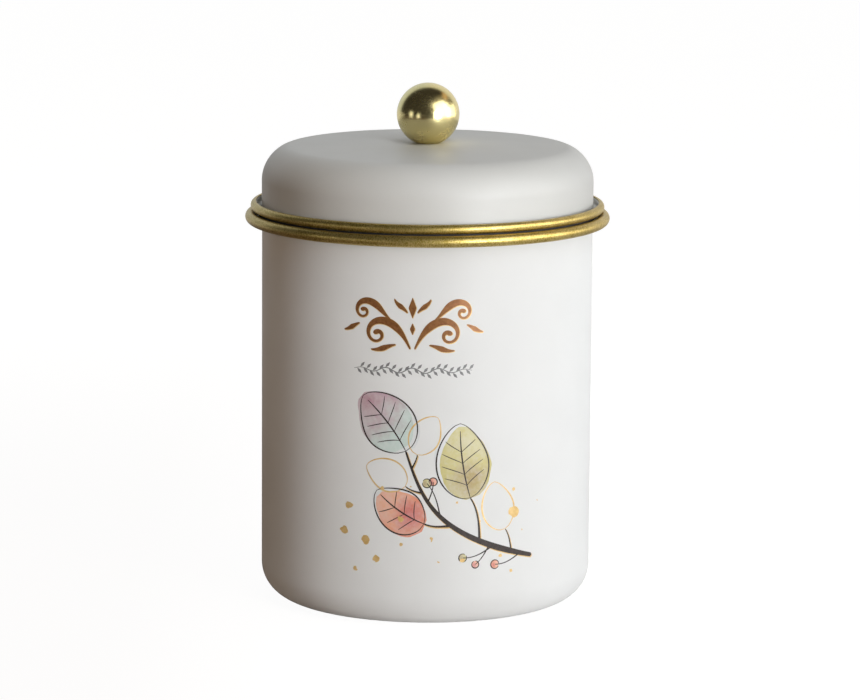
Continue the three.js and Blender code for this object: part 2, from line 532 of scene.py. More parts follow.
class Lathe(Tree):
    """Turns a section about the vertical axis."""

    def __init__(self, looks: dict[str, Material]) -> None:
        """Wires the tree: a grid of points, each placed by the section point of its row.

        Args:
            looks: The finishes, by the names of their slots.
        """
        super().__init__("Turned section")
        self.looks = looks
        sides = self.ask("Sides", SIDES, "NodeSocketInt")
        crease = self.ask("Crease", math.radians(28))
        rows = self.out("GeometryNodeAttributeDomainSize", ("Geometry", self.source), get="Point Count",
            component="MESH")
        columns = self.out("FunctionNodeIntegerMath", (0, sides), (1, 1), operation="ADD")
        grid = self.out("GeometryNodeMeshGrid", ("Vertices X", rows), ("Vertices Y", columns))
        index = self.out("GeometryNodeInputIndex")
        row, column = (self.out("FunctionNodeIntegerMath", (0, index), (1, columns), operation=way)
            for way in ("DIVIDE_FLOOR", "MODULO"))
        spot = self.out("GeometryNodeSampleIndex", ("Geometry", self.source), ("Index", row),
            ("Value", self.out("GeometryNodeInputPosition")), data_type="FLOAT_VECTOR")
        radius, _, height = self.split(spot)
        angle = self.calc("DIVIDE", self.times(column, math.tau), sides)
        turned = self.place(grid, self.times(radius, self.calc("COSINE", angle)),
            self.times(radius, self.calc("SINE", angle)), height)
        bend = self.out("GeometryNodeInputMeshEdgeAngle", get="Unsigned Angle")
        sharp = self.out("FunctionNodeCompare", ("A", bend), ("B", crease), data_type="FLOAT",
            operation="GREATER_THAN")
        self.close(self.out("GeometryNodeSetShadeSmooth", ("Geometry", self.shade(self.weld(turned), True)),
            ("Selection", sharp), ("Shade Smooth", False), domain="EDGE"))

    def blank(self, name: str, section: Line, slot: str, base: float = 0.0, sides: int = SIDES) -> Piece:
        """Turns one section.

        Args:
            name: Name of the piece.
            section: Radius and height of its points, closed on itself or from axis to axis.
            slot: Slot that names its finish.
            base: Height of the section's zero.
            sides: Number of sides.

        Returns:
            The piece, before it is settled.
        """
        points = [(radius, 0.0, height + base) for radius, height in section]
        return self.run(link_mesh(name + "_section", points), name, self.looks[slot], Sides=sides)

    def turn(self, name: str, section: Line, body: Body, slot: str, node: str, base: float = 0.0,
            sides: int = SIDES) -> None:
        """Turns one section and settles the piece on its body, in place of its CAD node."""
        settle(self.blank(name, section, slot, base, sides), body, slot, node)


class Film(Tree):
    """A tree that works on the flat print and wraps it round the can as a thin closed film."""

    def __init__(self, name: str) -> None:
        """Adds the inputs that every film has.

        Args:
            name: Name of the tree.
        """
        super().__init__(name)
        self.round = self.ask("Can radius", 55 * MM)
        self.low = self.ask("Root", -0.02 * MM)
        self.top = self.ask("Film", 0.02 * MM)

    def wobble(self, geometry: Socket) -> Socket:
        """Moves a flat shape about in its plane by noise, so that its edge looks brushed.

        Args:
            geometry: The flat shape.

        Returns:
            The moved shape.
        """
        reach = self.ask("Wobble", 0.0)
        grain = self.ask("Wobble scale", 300.0)
        seed = self.ask("Wobble seed", 0.0)
        noise = self.out("ShaderNodeTexNoise", ("W", seed), ("Scale", grain), ("Detail", 2.0), get="Color",
            noise_dimensions="4D")
        shift = self.out("ShaderNodeVectorMath", (0, noise), (1, (0.5, 0.5, 0.5)), operation="SUBTRACT")
        move = self.out("ShaderNodeVectorMath", (0, shift), (1, self.vector(reach, reach, 0.0)),
            operation="MULTIPLY")
        return self.out("GeometryNodeSetPosition", ("Geometry", geometry), ("Offset", move))

    def thicken(self, flat: Socket) -> Socket:
        """Gives flat faces the thickness of the film and closes it underneath.

        Args:
            flat: The flat faces.

        Returns:
            The closed film, still laid out flat.
        """
        x, y, _ = self.here()
        low = self.place(flat, x, y, self.low)
        raised = self.out("GeometryNodeExtrudeMesh", ("Mesh", low), ("Offset", (0.0, 0.0, 1.0)),
            ("Offset Scale", self.less(self.top, self.low)), ("Individual", False), mode="FACES")
        under = self.out("GeometryNodeFlipFaces", ("Mesh", low))
        return self.weld(self.out("GeometryNodeJoinGeometry", (0, raised), (0, under)))

    def wrap(self, film: Socket) -> Socket:
        """Wraps the film: across becomes the way round the can, and up stays up.

        Args:
            film: The closed film, laid out flat.

        Returns:
            The film on the can.
        """
        across, up, proud = self.here()
        angle = self.calc("DIVIDE", across, self.round)
        reach = self.add(self.round, proud)
        depth = self.times(reach, self.calc("COSINE", angle))
        return self.place(film, self.times(reach, self.calc("SINE", angle)), self.times(depth, -1.0), up)

    def lay(self, flat: Socket) -> None:
        """Ends the tree with flat faces laid on the can."""
        self.close(self.wrap(self.thicken(flat)))


class PatchFilm(Film):
    """Ink that fills flat shapes."""

    def __init__(self) -> None:
        """Wires the tree."""
        super().__init__("Filled ink")
        self.lay(self.wobble(self.source))


class PenFilm(Film):
    """Ink lines of changing width that follow flat curves."""

    def __init__(self) -> None:
        """Wires the tree: a square pen along each curve, pressed flat to the film."""
        super().__init__("Pen lines")
        widen = self.ask("Widen", 0.0)
        radius = self.add(self.out("GeometryNodeInputRadius"), widen)
        upright = self.out("GeometryNodeSetCurveNormal", ("Curve", self.source), mode="Z_UP")
        sized = self.out("GeometryNodeSetCurveRadius", ("Curve", upright), ("Radius", radius))
        pen = self.out("GeometryNodeCurvePrimitiveQuadrilateral", ("Width", 2.0), ("Height", 2.0))
        sweep = self.out("GeometryNodeCurveToMesh", ("Curve", sized), ("Profile Curve", pen),
            ("Scale", self.out("GeometryNodeInputRadius")), ("Fill Caps", True))
        across, up, proud = self.here()
        level = self.out("GeometryNodeSwitch", ("Switch", self.calc("GREATER_THAN", proud, 0.0)),
            ("False", self.low), ("True", self.top), input_type="FLOAT")
        self.close(self.shade(self.wrap(self.place(sweep, across, up, level)), False))


class FleckFilm(Film):
    """Gold flecks strewn over a flat area."""

    slimmest: float = 0.65
    slim_seed: int = 11
    turn_seed: int = 5

    def __init__(self) -> None:
        """Wires the tree: seeded points, each with a small blot of its own size and turn."""
        super().__init__("Strewn flecks")
        density = self.ask("Density", 4000.0)
        space = self.ask("Spacing", 3 * MM)
        seed = self.ask("Seed", 3, "NodeSocketInt")
        small = self.ask("Smallest", 0.3 * MM)
        large = self.ask("Largest", 1.6 * MM)
        points = self.out("GeometryNodeDistributePointsOnFaces", ("Mesh", self.source),
            ("Distance Min", space), ("Density Max", density), ("Seed", seed), distribute_method="POISSON")
        share = self.calc("POWER", self.chance(0.0, 1.0, seed), 2.0)
        size = self.span(share, 0.0, 1.0, small, large)
        slim = self.chance(self.slimmest, 1.0, self.slim_seed)
        turn = self.chance(0.0, math.tau, self.turn_seed)
        blots = self.sow(points, self.disc(corners=26, radius=1.0), turn, size, self.times(size, slim))
        self.lay(self.wobble(blots))


class GarlandFilm(Film):
    """Leaflets along a flat curve, to either side by turns."""

    blade_width: float = 0.42
    blade_taper: float = 0.55
    blade_middle: float = 0.58

    def __init__(self) -> None:
        """Wires the tree: evenly spaced points on the curve, with a leaflet to each side by turns."""
        super().__init__("Leaflets on a vine")
        count = self.ask("Leaflets", 30, "NodeSocketInt")
        lean = self.ask("Lean", math.radians(48))
        length = self.ask("Leaflet length", 2.4 * MM)
        points = self.out("GeometryNodeCurveToPoints", ("Curve", self.source), ("Count", count),
            mode="COUNT")
        x, y, _ = self.here()
        # A pointed oval from its stalk outwards
        taper = self.times(self.calc("ABSOLUTE", x), self.blade_taper)
        waist = self.times(y, self.less(self.blade_width, taper))
        blade = self.place(self.disc(corners=16, radius=0.5), self.add(x, self.blade_middle), waist, 0.0)
        # -1 or 1 by turns
        side = self.less(self.times(self.calc("MODULO", self.out("GeometryNodeInputIndex"), 2.0), 2.0), 1.0)
        along, across, _ = self.split(self.out("GeometryNodeInputTangent"))
        turn = self.add(self.calc("ARCTAN2", across, along), self.times(side, lean))
        self.lay(self.sow(points, blade, turn, length, length))


class Thread(Tree):
    """A helical thread ridge round a shank."""

    def __init__(self) -> None:
        """Wires the tree: a four-sided ridge swept along a spiral; the source is only the carrier."""
        super().__init__("Screw thread")
        turns = self.ask("Turns", 10.0)
        radius = self.ask("Shank radius", 1.6 * MM)
        height = self.ask("Height", 8 * MM)
        base = self.ask("Base", 0.0)
        ridge = self.ask("Ridge", 0.35 * MM)
        spiral = self.out("GeometryNodeCurveSpiral", ("Resolution", 28), ("Rotations", turns),
            ("Start Radius", radius), ("End Radius", radius), ("Height", height))
        upright = self.out("GeometryNodeSetCurveNormal", ("Curve", spiral), mode="Z_UP")
        pen = self.out("GeometryNodeCurvePrimitiveCircle", ("Resolution", 4), ("Radius", ridge))
        sweep = self.out("GeometryNodeCurveToMesh", ("Curve", upright), ("Profile Curve", pen),
            ("Fill Caps", True))
        lift = self.vector(0.0, 0.0, base)
        self.close(self.out("GeometryNodeSetPosition", ("Geometry", sweep), ("Offset", lift)))


# Finishes, whose grains are in cells per metre and whose relief is in millimetres


def darker(colour: Colour, share: float) -> Colour:
    """The colour with each part cut to a share."""
    return tuple(c * share for c in colour)


class Surface(Board):
    """A material that is being wired round one Principled shader."""

    def __init__(self, name: str, **constants: float) -> None:
        """Makes the material.

        Args:
            name: Its name.
            constants: Values set straight on the shader's inputs, with _ for a space.
        """
        self.material = bpy.data.materials.new(name)
        self.material.use_nodes = True
        super().__init__(self.material.node_tree)
        self.shader = self.tree.nodes["Principled BSDF"]
        for key, value in constants.items():
            self.shader.inputs[key.replace("_", " ")].default_value = value
        self.spot = self.out("ShaderNodeTexCoord", get="Object")

    def noise(self, scale: float, detail: float, roughness: float = 0.5, at: Socket | None = None) -> Socket:
        """Fractal noise over the object, or over another place."""
        return self.out("ShaderNodeTexNoise", ("Vector", at or self.spot), ("Scale", scale),
            ("Detail", detail), ("Roughness", roughness), get="Fac")

    def drive(self, key: str, value: Socket) -> None:
        """Links a pattern to one input of the shader."""
        self.tree.links.new(value, self.shader.inputs[key])

    def mottle(self, pattern: Socket, levels: Point, dark: Colour, light: Colour) -> None:
        """Colours the surface from dark to light as a pattern goes from the low to the high level."""
        self.drive("Base Color", self.blend(self.span(pattern, *levels), dark, light))

    def gloss(self, pattern: Socket, levels: Point, first: float, last: float) -> None:
        """Takes the roughness from first to last as a pattern goes from the low to the high level."""
        self.drive("Roughness", self.span(pattern, *levels, first, last))

    def bump(self, height: Socket, depth: float) -> None:
        """Raises the pattern by a depth."""
        self.drive("Normal", self.out("ShaderNodeBump", ("Height", height), ("Distance", depth * MM)))


@dataclass(frozen=True)
class Enamel:
    """Satin powder coat with a faint orange peel."""

    name: str
    colour: Colour
    roughness: float
    sheen: float
    chalk: float
    cloud_grain: float = 38
    cloud_shade: float = 0.975
    gloss_grain: float = 90
    gloss_play: float = 0.03
    peel_grain: float = 620
    fine_grain: float = 2600
    fine_share: float = 0.18
    relief: float = 0.006

    def material(self) -> Material:
        """Builds the material.

        Returns:
            The material.
        """
        coat = Surface(self.name, Diffuse_Roughness=self.chalk, Specular_IOR_Level=self.sheen)
        cloud, patches = coat.noise(self.cloud_grain, 3), coat.noise(self.gloss_grain, 3)
        coat.mottle(cloud, NARROW, darker(self.colour, self.cloud_shade), self.colour)
        coat.gloss(patches, BROAD, self.roughness - self.gloss_play, self.roughness + self.gloss_play)
        peel, fine = coat.noise(self.peel_grain, 2, 0.45), coat.noise(self.fine_grain, 2)
        coat.bump(coat.add(peel, coat.times(fine, self.fine_share)), self.relief)
        return coat.material


@dataclass(frozen=True)
class GoldPaint:
    """Metallic paint whose flakes give it a visible grain."""

    name: str
    dark: Colour
    light: Colour
    roughness: float
    flake_grain: float = 2300
    cloud_grain: float = 160
    flake_share: float = 0.8
    flake_levels: Point = (0.34, 0.62)
    dull_play: float = 0.08
    bright_play: float = 0.06
    relief: float = 0.03

    def material(self) -> Material:
        """Builds the material.

        Returns:
            The material.
        """
        coat = Surface(self.name, Metallic=0.92)
        flake = coat.noise(self.flake_grain, 3, 0.65)
        cloud = coat.times(coat.noise(self.cloud_grain, 2), 1 - self.flake_share)
        grain = coat.add(coat.times(flake, self.flake_share), cloud)
        coat.mottle(grain, self.flake_levels, self.dark, self.light)
        coat.gloss(flake, BROAD, self.roughness + self.dull_play, self.roughness - self.bright_play)
        coat.bump(flake, self.relief)
        return coat.material


@dataclass(frozen=True)
class PlatedMetal:
    """Bright metal with faint wear: polished brass, tinplate or zinc."""

    name: str
    colour: Colour
    roughness: float
    haze: float
    streak: float = 1.0
    wear_grain: float = 130
    wear_shade: float = 0.93
    fine_grain: float = 1500
    fine_share: float = 0.4
    scuff_levels: Point = (0.45, 0.95)
    relief: float = 0.0008

    def material(self) -> Material:
        """Builds the material.

        Returns:
            The material.
        """
        coat = Surface(self.name, Metallic=1.0)
        drawn = coat.out("ShaderNodeMapping", ("Vector", coat.spot), ("Scale", (1.0, 1.0, self.streak)))
        wear = coat.noise(self.wear_grain, 4, 0.6, drawn)
        fine = coat.noise(self.fine_grain, 2, 0.6, drawn)
        coat.mottle(wear, BROAD, darker(self.colour, self.wear_shade), self.colour)
        scuff = coat.add(wear, coat.times(fine, self.fine_share))
        coat.gloss(scuff, self.scuff_levels, self.roughness, self.roughness + self.haze)
        coat.bump(fine, self.relief)
        return coat.material


@dataclass(frozen=True)
class Rubber:
    """Silicone with a matt moulded skin; the seal's near-black colour is painted shade that keeps the slot
    between the trim rings dark.
    """

    name: str
    colour: Colour
    roughness: Point = (0.5, 0.6)
    cloud_grain: float = 200
    cloud_shade: float = 0.85
    skin_grain: float = 3000
    relief: float = 0.004

    def material(self) -> Material:
        """Builds the material.

        Returns:
            The material.
        """
        skin = Surface(self.name)
        cloud = skin.noise(self.cloud_grain, 3)
        skin.mottle(cloud, NARROW, darker(self.colour, self.cloud_shade), self.colour)
        skin.gloss(cloud, BROAD, *self.roughness)
        skin.bump(skin.noise(self.skin_grain, 2), self.relief)
        return skin.material


@dataclass(frozen=True)
class Ink:
    """Printed ink with a mottled film and, on foil inks, a metallic sheen."""

    name: str
    dark: Colour
    light: Colour
    metallic: float
    roughness: float
    patch_grain: float = 900
    gloss_play: float = 0.05
    fine_grain: float = 2600
    relief: float = 0.004

    def material(self) -> Material:
        """Builds the material.

        Returns:
            The material.
        """
        film = Surface(self.name, Metallic=self.metallic)
        patch = film.noise(self.patch_grain, 3, 0.6)
        film.mottle(patch, NARROW, self.dark, self.light)
        film.gloss(patch, BROAD, self.roughness + self.gloss_play, self.roughness - self.gloss_play)
        film.bump(film.noise(self.fine_grain, 2), self.relief)
        return film.material


@dataclass(frozen=True)
class Watercolour:
    """Thin paint in which two tints run into each other and pool at one spot.

    The shape's own map runs along it from 0 to 1, and across it from 0 to 1.
    """

    name: str
    base: Colour
    tip: Colour
    pool: Colour
    body: float
    pool_at: Point = (0.3, 0.4)
    pool_reach: Point = (0.08, 0.34)
    pool_depth: float = 0.85
    pool_width: float = 0.5
    pool_run: float = 0.5
    paper: Colour = CAN_WHITE
    run_grain: float = 160
    run_reach: float = 1.1
    run_levels: Point = (0.2, 0.8)
    thin_levels: Point = (0.3, 0.62)
    thin_share: Point = (0.72, 1.05)
    rim_from: float = 0.4
    rim_depth: float = 0.16
    fine_grain: float = 900
    fine_play: Point = (-0.1, 0.08)

    def material(self) -> Material:
        """Builds the material.

        Returns:
            The material.
        """
        wash = Surface(self.name, Roughness=0.45)
        along, across, _ = wash.split(wash.out("ShaderNodeUVMap", uv_map="shape"))
        run = wash.noise(self.run_grain, 4, 0.6)
        grain = wash.noise(self.fine_grain, 3, 0.6)
        drift = wash.less(run, 0.5)
        change = wash.span(wash.add(along, wash.times(drift, self.run_reach)), *self.run_levels)
        tint = wash.blend(change, self.base, self.tip)
        long_gap, wide_gap = (wash.calc("POWER", wash.less(way, middle), 2.0)
            for way, middle in zip((along, across), self.pool_at))
        gap = wash.calc("SQRT", wash.add(long_gap, wash.times(wide_gap, self.pool_width)))
        ragged = wash.add(gap, wash.times(drift, self.pool_run))
        tint = wash.blend(wash.span(ragged, *self.pool_reach, self.pool_depth, 0.0), tint, self.pool)
        off_middle = wash.calc("ABSOLUTE", wash.less(across, 0.5))
        rim = wash.span(off_middle, self.rim_from, 0.5, 0.0, self.rim_depth)
        cover = wash.add(wash.span(grain, *BROAD, *(self.body + play for play in self.fine_play)), rim)
        thin = wash.times(cover, wash.span(run, *self.thin_levels, *self.thin_share))
        wash.drive("Base Color", wash.blend(thin, self.paper, tint))
        return wash.material


# The can, the lid and the knob


@dataclass(frozen=True)
class Can:
    """The drawn can with its rolled trim ring."""

    lathe: Lathe
    radius: float = 55.0
    sheet: float = 0.5
    rim_height: float = 128.2
    base_corner: float = 11.35
    stand_width: float = 5.5
    recess_depth: float = 1.6
    recess_run: float = 3.0
    recess_bend: float = 2.0
    flare_bend: float = 0.7
    flare_reach: float = 3.0
    bead_reach: float = 3.7
    bead_radius: float = 1.9
    bead_wall: float = 0.4
    seam_gap: float = 0.3

    def shell(self) -> None:
        """Builds the can: recessed base, standing ring, corner, wall and flared rim."""
        stand_outer = self.radius - self.base_corner
        stand_inner = stand_outer - self.stand_width
        under = self.rim_height - self.sheet / 2
        face = bent_line([
            (0, self.recess_depth, 0),
            (stand_inner - self.recess_run, self.recess_depth, self.recess_bend),
            (stand_inner, 0, self.recess_bend),
            (self.radius, 0, self.base_corner),
            (self.radius, under, self.flare_bend),
            (self.radius + self.flare_reach, under, 0),
        ], chord=5)
        section = sheet_section(face, self.sheet, start_round=False)
        self.lathe.turn("can_shell", section, Body.CAN, "can_enamel", "body_shell", sides=FINE_SIDES)

    def ring(self) -> None:
        """Builds the trim ring, a rolled tube that is open where the flare enters it."""
        half_mouth = self.sheet / 2 + self.seam_gap
        mouth = math.degrees(math.asin(half_mouth / (self.bead_radius - self.bead_wall)))
        middle = (self.radius + self.bead_reach, self.rim_height)
        section = rolled_section(middle, self.bead_radius, self.bead_wall, mouth - 180, 180 - mouth,
            chords=(44, 30))
        self.lathe.turn("can_trim_ring", section, Body.CAN, "gold_paint", "body_rim_ring", sides=FINE_SIDES)

    def build(self) -> None:
        """Builds both pieces."""
        self.shell()
        self.ring()


@dataclass(frozen=True)
class Lid:
    """The pressed lid with its trim ring, plug neck and seal, measured up from its brim's underside."""

    lathe: Lathe
    can: Can
    seat: float
    radius: float = 55.1
    sheet: float = 0.5
    height: float = 22.2
    top_flat: float = 6.4
    crown_drop: float = 1.1
    shoulder_run: float = 9.2
    shoulder_drop: float = 11.3
    brim_bend: float = 0.6
    gutter: float = 1.65
    lip_bend: float = 0.5
    bead_radius: float = 1.55
    bead_rise: float = 1.35
    bead_from: float = -80.0
    bead_to: float = 95.0
    hole_radius: float = 2.3
    neck_play: float = 1.9
    neck_reach: float = 14.6
    weld_height: float = 8.5
    joggle_rise: float = 2.0
    joggle_bend: float = 1.0
    joggle_base: float = 0.4
    neck_hem: float = 1.6
    hem_bend: float = 0.8
    seal_flange: float = 1.55
    seal_band: float = 0.7
    seal_height: float = 9.0
    seal_bend: float = 0.35
    band_bend: float = 0.15
    flange_root: float = 0.2
    ribs: int = 3
    rib_base: float = 1.4
    rib_tip: float = 0.4
    rib_bend: float = 0.12
    root_bend: float = 0.1

    @property
    def plug_radius(self) -> float:
        """Outer radius of the plug neck."""
        return self.can.radius - self.can.sheet - self.neck_play

    def shell(self) -> None:
        """Builds the lid: clamping flat, dome, shoulder, wall, brim and upturned lip."""
        crown = (self.radius - self.shoulder_run, self.height - self.crown_drop)
        wall_top = (self.radius, crown[1] - self.shoulder_drop)
        slope = 2 * self.crown_drop / (crown[0] - self.top_flat)
        run, drop = self.shoulder_run / 2, self.shoulder_drop / 2
        edge = (self.top_flat, self.height)
        knee = ((self.top_flat + crown[0]) / 2, self.height)
        # The quadratic dome, written with the two handles of a cubic
        first, second = (tuple(a + (b - a) * 2 / 3 for a, b in zip(end, knee)) for end in (edge, crown))
        dome = cubic(edge, first, second, crown, steps=18)
        shoulder = cubic(crown, (crown[0] + run, crown[1] - run * slope),
            (self.radius, wall_top[1] + drop), wall_top, steps=24)
        lip = self.radius + self.gutter
        lip_top = self.bead_rise + self.bead_radius - self.can.bead_wall - self.can.seam_gap
        skirt = bent_line([
            (*wall_top, 0),
            (self.radius, self.sheet, self.brim_bend),
            (lip, self.sheet, self.lip_bend),
            (lip, lip_top, 0),
        ], chord=12)
        face = [(self.hole_radius, self.height), edge, *dome, *shoulder, *skirt[1:]]
        section = sheet_section(face, -self.sheet)
        self.lathe.turn("lid_dome", section, Body.LID, "lid_enamel", "lid_shell", self.seat, FINE_SIDES)

    def ring(self) -> None:
        """Builds the trim ring that is rolled round the outside of the lip."""
        middle = (self.radius + self.gutter + self.sheet, self.bead_rise)
        section = rolled_section(middle, self.bead_radius, self.can.bead_wall, self.bead_from, self.bead_to,
            chords=(34, 24))
        self.lathe.turn("lid_trim_ring", section, Body.LID, "gold_paint", "lid_rim_ring", self.seat,
            FINE_SIDES)

    def neck(self) -> None:
        """Builds the plug neck: hem, plug, joggle and weld band."""
        plug = self.plug_radius
        weld = self.radius - self.sheet - self.can.seam_gap
        face = bent_line([
            (plug - self.neck_hem, -self.neck_reach, 0),
            (plug, -self.neck_reach, self.hem_bend),
            (plug, self.joggle_base, self.joggle_bend),
            (weld, self.joggle_base + self.joggle_rise, self.joggle_bend),
            (weld, self.weld_height, 0),
        ], chord=10)
        section = sheet_section(face, self.sheet)
        self.lathe.turn("plug_neck", section, Body.LID, "tinplate", "lid_neck", self.seat)

    def seal(self) -> None:
        """Builds the seal: a flange under the brim and a band with wiper ribs."""
        gap = self.can.seam_gap
        inner = self.plug_radius + gap
        band = inner + self.seal_band
        rib = self.can.radius - self.can.sheet - gap
        flange = (self.radius + self.radius + self.gutter + self.sheet) / 2
        top, low = -gap, -gap - self.seal_flange
        bottom = low - self.seal_height
        corners = [(inner, top, 0), (inner, bottom, 0), (band, bottom, self.band_bend)]
        for i in range(self.ribs):
            middle = bottom + self.seal_height / self.ribs * (i + 0.5)
            corners += [
                (band, middle - self.rib_base / 2, self.root_bend),
                (rib, middle - self.rib_tip / 2, self.rib_bend),
                (rib, middle + self.rib_tip / 2, self.rib_bend),
                (band, middle + self.rib_base / 2, self.root_bend),
            ]
        corners += [
            (band, low, self.flange_root),
            (flange, low, self.seal_bend),
            (flange, top, self.seal_bend),
            corners[0],
        ]
        section = bent_line(corners, chord=15)
        self.lathe.turn("seal", section, Body.LID, "silicone", "seal_gasket", self.seat)

    def build(self) -> None:
        """Builds the four pieces."""
        for piece in (self.shell, self.ring, self.neck, self.seal):
            piece()


@dataclass(frozen=True)
class Knob:
    """The ball knob with its screw and washers, measured up from the lid's top."""

    lathe: Lathe
    seat: float
    lid_sheet: float = 0.5
    ball_radius: float = 10.4
    ball_seat: float = 4.0
    hole_radius: float = 2.15
    hole_depth: float = 9.0
    hole_bevel: float = 0.25
    drill_point: float = 59.0
    screw_radius: float = 2.0
    screw_length: float = 10.0
    screw_point: float = 0.7
    screw_sides: int = 64
    throat_cut: float = 0.2
    throat_length: float = 0.6
    shank_start: float = 0.8
    thread_depth: float = 0.35
    thread_sink: float = 0.9
    thread_pitch: float = 0.7
    thread_start: float = 1.0
    thread_end: float = 0.9
    head_radius: float = 4.0
    head_height: float = 2.6
    head_round: float = 1.2
    head_edge: float = 0.1
    recess_reach: float = 2.2
    recess_width: float = 0.75
    recess_depth: float = 1.5
    recess_taper: float = 0.42
    recess_overshoot: float = 0.5
    washer_radius: float = 6.0
    washer_thickness: float = 1.0
    washer_round: float = 0.25
    washer_edge: float = 0.08
    washer_sides: int = 96
    spring_radius: float = 3.8
    spring_thickness: float = 1.1
    spring_split: float = 1.0
    spring_edge: float = 0.12
    spring_steps: int = 72

    def ball(self) -> None:
        """Builds the ball with its seat and blind hole."""
        centre = (0.0, math.sqrt(self.ball_radius ** 2 - self.ball_seat ** 2))
        start = -math.degrees(math.acos(self.ball_seat / self.ball_radius))
        outline = arc(centre, self.ball_radius, start, 90, steps=96)
        tip = self.hole_depth + self.hole_radius / math.tan(math.radians(self.drill_point))
        section = [
            (0.0, tip),
            (self.hole_radius, self.hole_depth),
            (self.hole_radius, self.hole_bevel),
            (self.hole_radius + self.hole_bevel, 0.0),
            *outline[:-1],
            (0.0, outline[-1][1]),
        ]
        self.lathe.turn("ball_knob", section, Body.LID, "knob_brass", "knob_ball", self.seat)

    def screw(self) -> None:
        """Builds the pan-head screw with a cross recess and a thread."""
        seat = -self.lid_sheet - self.washer_thickness - self.spring_thickness
        shank = self.screw_radius - self.thread_depth * self.thread_sink
        throat = self.screw_radius - self.throat_cut
        bottom, tip = seat - self.head_height, seat + self.screw_length
        corner = (self.head_radius - self.head_round, bottom + self.head_round)
        section = [
            (0.0, bottom),
            *arc(corner, self.head_round, -90, 0, steps=8),
            (self.head_radius, seat - self.head_edge),
            (self.head_radius - self.head_edge, seat),
            (throat, seat),
            (throat, seat + self.throat_length),
            (shank, seat + self.shank_start),
            (shank, tip - self.screw_point),
            (shank - self.screw_point, tip),
            (0.0, tip),
        ]
        screw = self.lathe.blank("knob_fixing_screw", section, "zinc_plate", self.seat, self.screw_sides)
        self.cut_cross(screw, bottom + self.seat)
        length = self.screw_length - self.thread_start - self.thread_end
        carrier = link_mesh("thread_path", [(0, 0, 0)])
        thread = Thread().run(carrier, "thread", self.lathe.looks["zinc_plate"],
            Turns=length / self.thread_pitch, Shank_radius=shank * MM, Height=length * MM,
            Base=(self.seat + seat + self.thread_start) * MM, Ridge=self.thread_depth * MM)
        join_meshes(screw, thread)
        settle(screw, Body.LID, "zinc_plate", "knob_screw")

    def cut_cross(self, screw: Piece, face: float) -> None:
        """Cuts the cross recess into the head.

        Args:
            screw: The screw before its thread is added.
            face: Height of the head's face.
        """
        reach, half = self.recess_reach, self.recess_width / 2
        arm = [(half, half), (half, reach), (-half, reach)]
        flat: Line = []
        for _ in range(4):
            flat += arm
            arm = [(-y, x) for x, y in arm]
        levels = ((1.0, face - self.recess_overshoot), (self.recess_taper, face + self.recess_depth))
        points = [(x * s, y * s, z) for s, z in levels for x, y in flat]
        count = len(flat)
        walls = [(i, (i + 1) % count, (i + 1) % count + count, i + count) for i in range(count)]
        ends = [tuple(range(count)), tuple(range(2 * count - 1, count - 1, -1))]
        tool = link_mesh("cross", points, ends + walls)
        work = bmesh.new()
        work.from_mesh(tool.data)
        bmesh.ops.recalc_face_normals(work, faces=work.faces)
        work.to_mesh(tool.data)
        work.free()
        cut = screw.modifiers.new("cross", "BOOLEAN")
        cut.object, cut.operation, cut.solver = tool, "DIFFERENCE", "EXACT"
        graph = bpy.context.evaluated_depsgraph_get()
        mesh = bpy.data.meshes.new_from_object(screw.evaluated_get(graph), depsgraph=graph)
        screw.modifiers.remove(cut)
        screw.data = mesh
        bpy.data.objects.remove(tool)

    def washer(self) -> None:
        """Builds the plain washer, with one edge rounded by its punching."""
        top, bore, rim = -self.lid_sheet, self.hole_radius, self.washer_radius
        low = top - self.washer_thickness
        section = bent_line([
            (bore, top, 0),
            (bore, low, 0),
            (rim, low, self.washer_round),
            (rim, top, self.washer_edge),
            (bore, top, 0),
        ], chord=18)
        self.lathe.turn("plain_washer", section, Body.LID, "zinc_plate", "knob_washer", self.seat,
            self.washer_sides)

    def spring_washer(self) -> None:
        """Builds the split spring washer as a bent bar with clean ends."""
        top = self.seat - self.lid_sheet - self.washer_thickness
        low = top - self.spring_thickness
        inner, outer, edge, steps = self.hole_radius, self.spring_radius, self.spring_edge, self.spring_steps
        half = math.asin(self.spring_split / 2 / outer)
        bar = [(inner + edge, low), (outer - edge, low), (outer, low + edge), (outer, top - edge),
            (outer - edge, top), (inner + edge, top), (inner, top - edge), (inner, low + edge)]
        points, faces, count = [], [], len(bar)
        for i in range(steps + 1):
            angle = half + (math.tau - 2 * half) * i / steps
            points += [(r * math.cos(angle), r * math.sin(angle), z) for r, z in bar]
        for i in range(steps):
            for k in range(count):
                a, b = i * count + k, i * count + (k + 1) % count
                faces.append((a, b, b + count, a + count))
        faces += [tuple(range(count))[::-1], tuple(steps * count + k for k in range(count))]
        washer = link_mesh("split_washer", points, faces)
        washer.data.materials.append(self.lathe.looks["zinc_plate"])
        face_outwards(washer.data)
        settle(washer, Body.LID, "zinc_plate", "knob_spring_washer")

    def build(self) -> None:
        """Builds the four pieces."""
        for piece in (self.ball, self.screw, self.washer, self.spring_washer):
            piece()


# The print


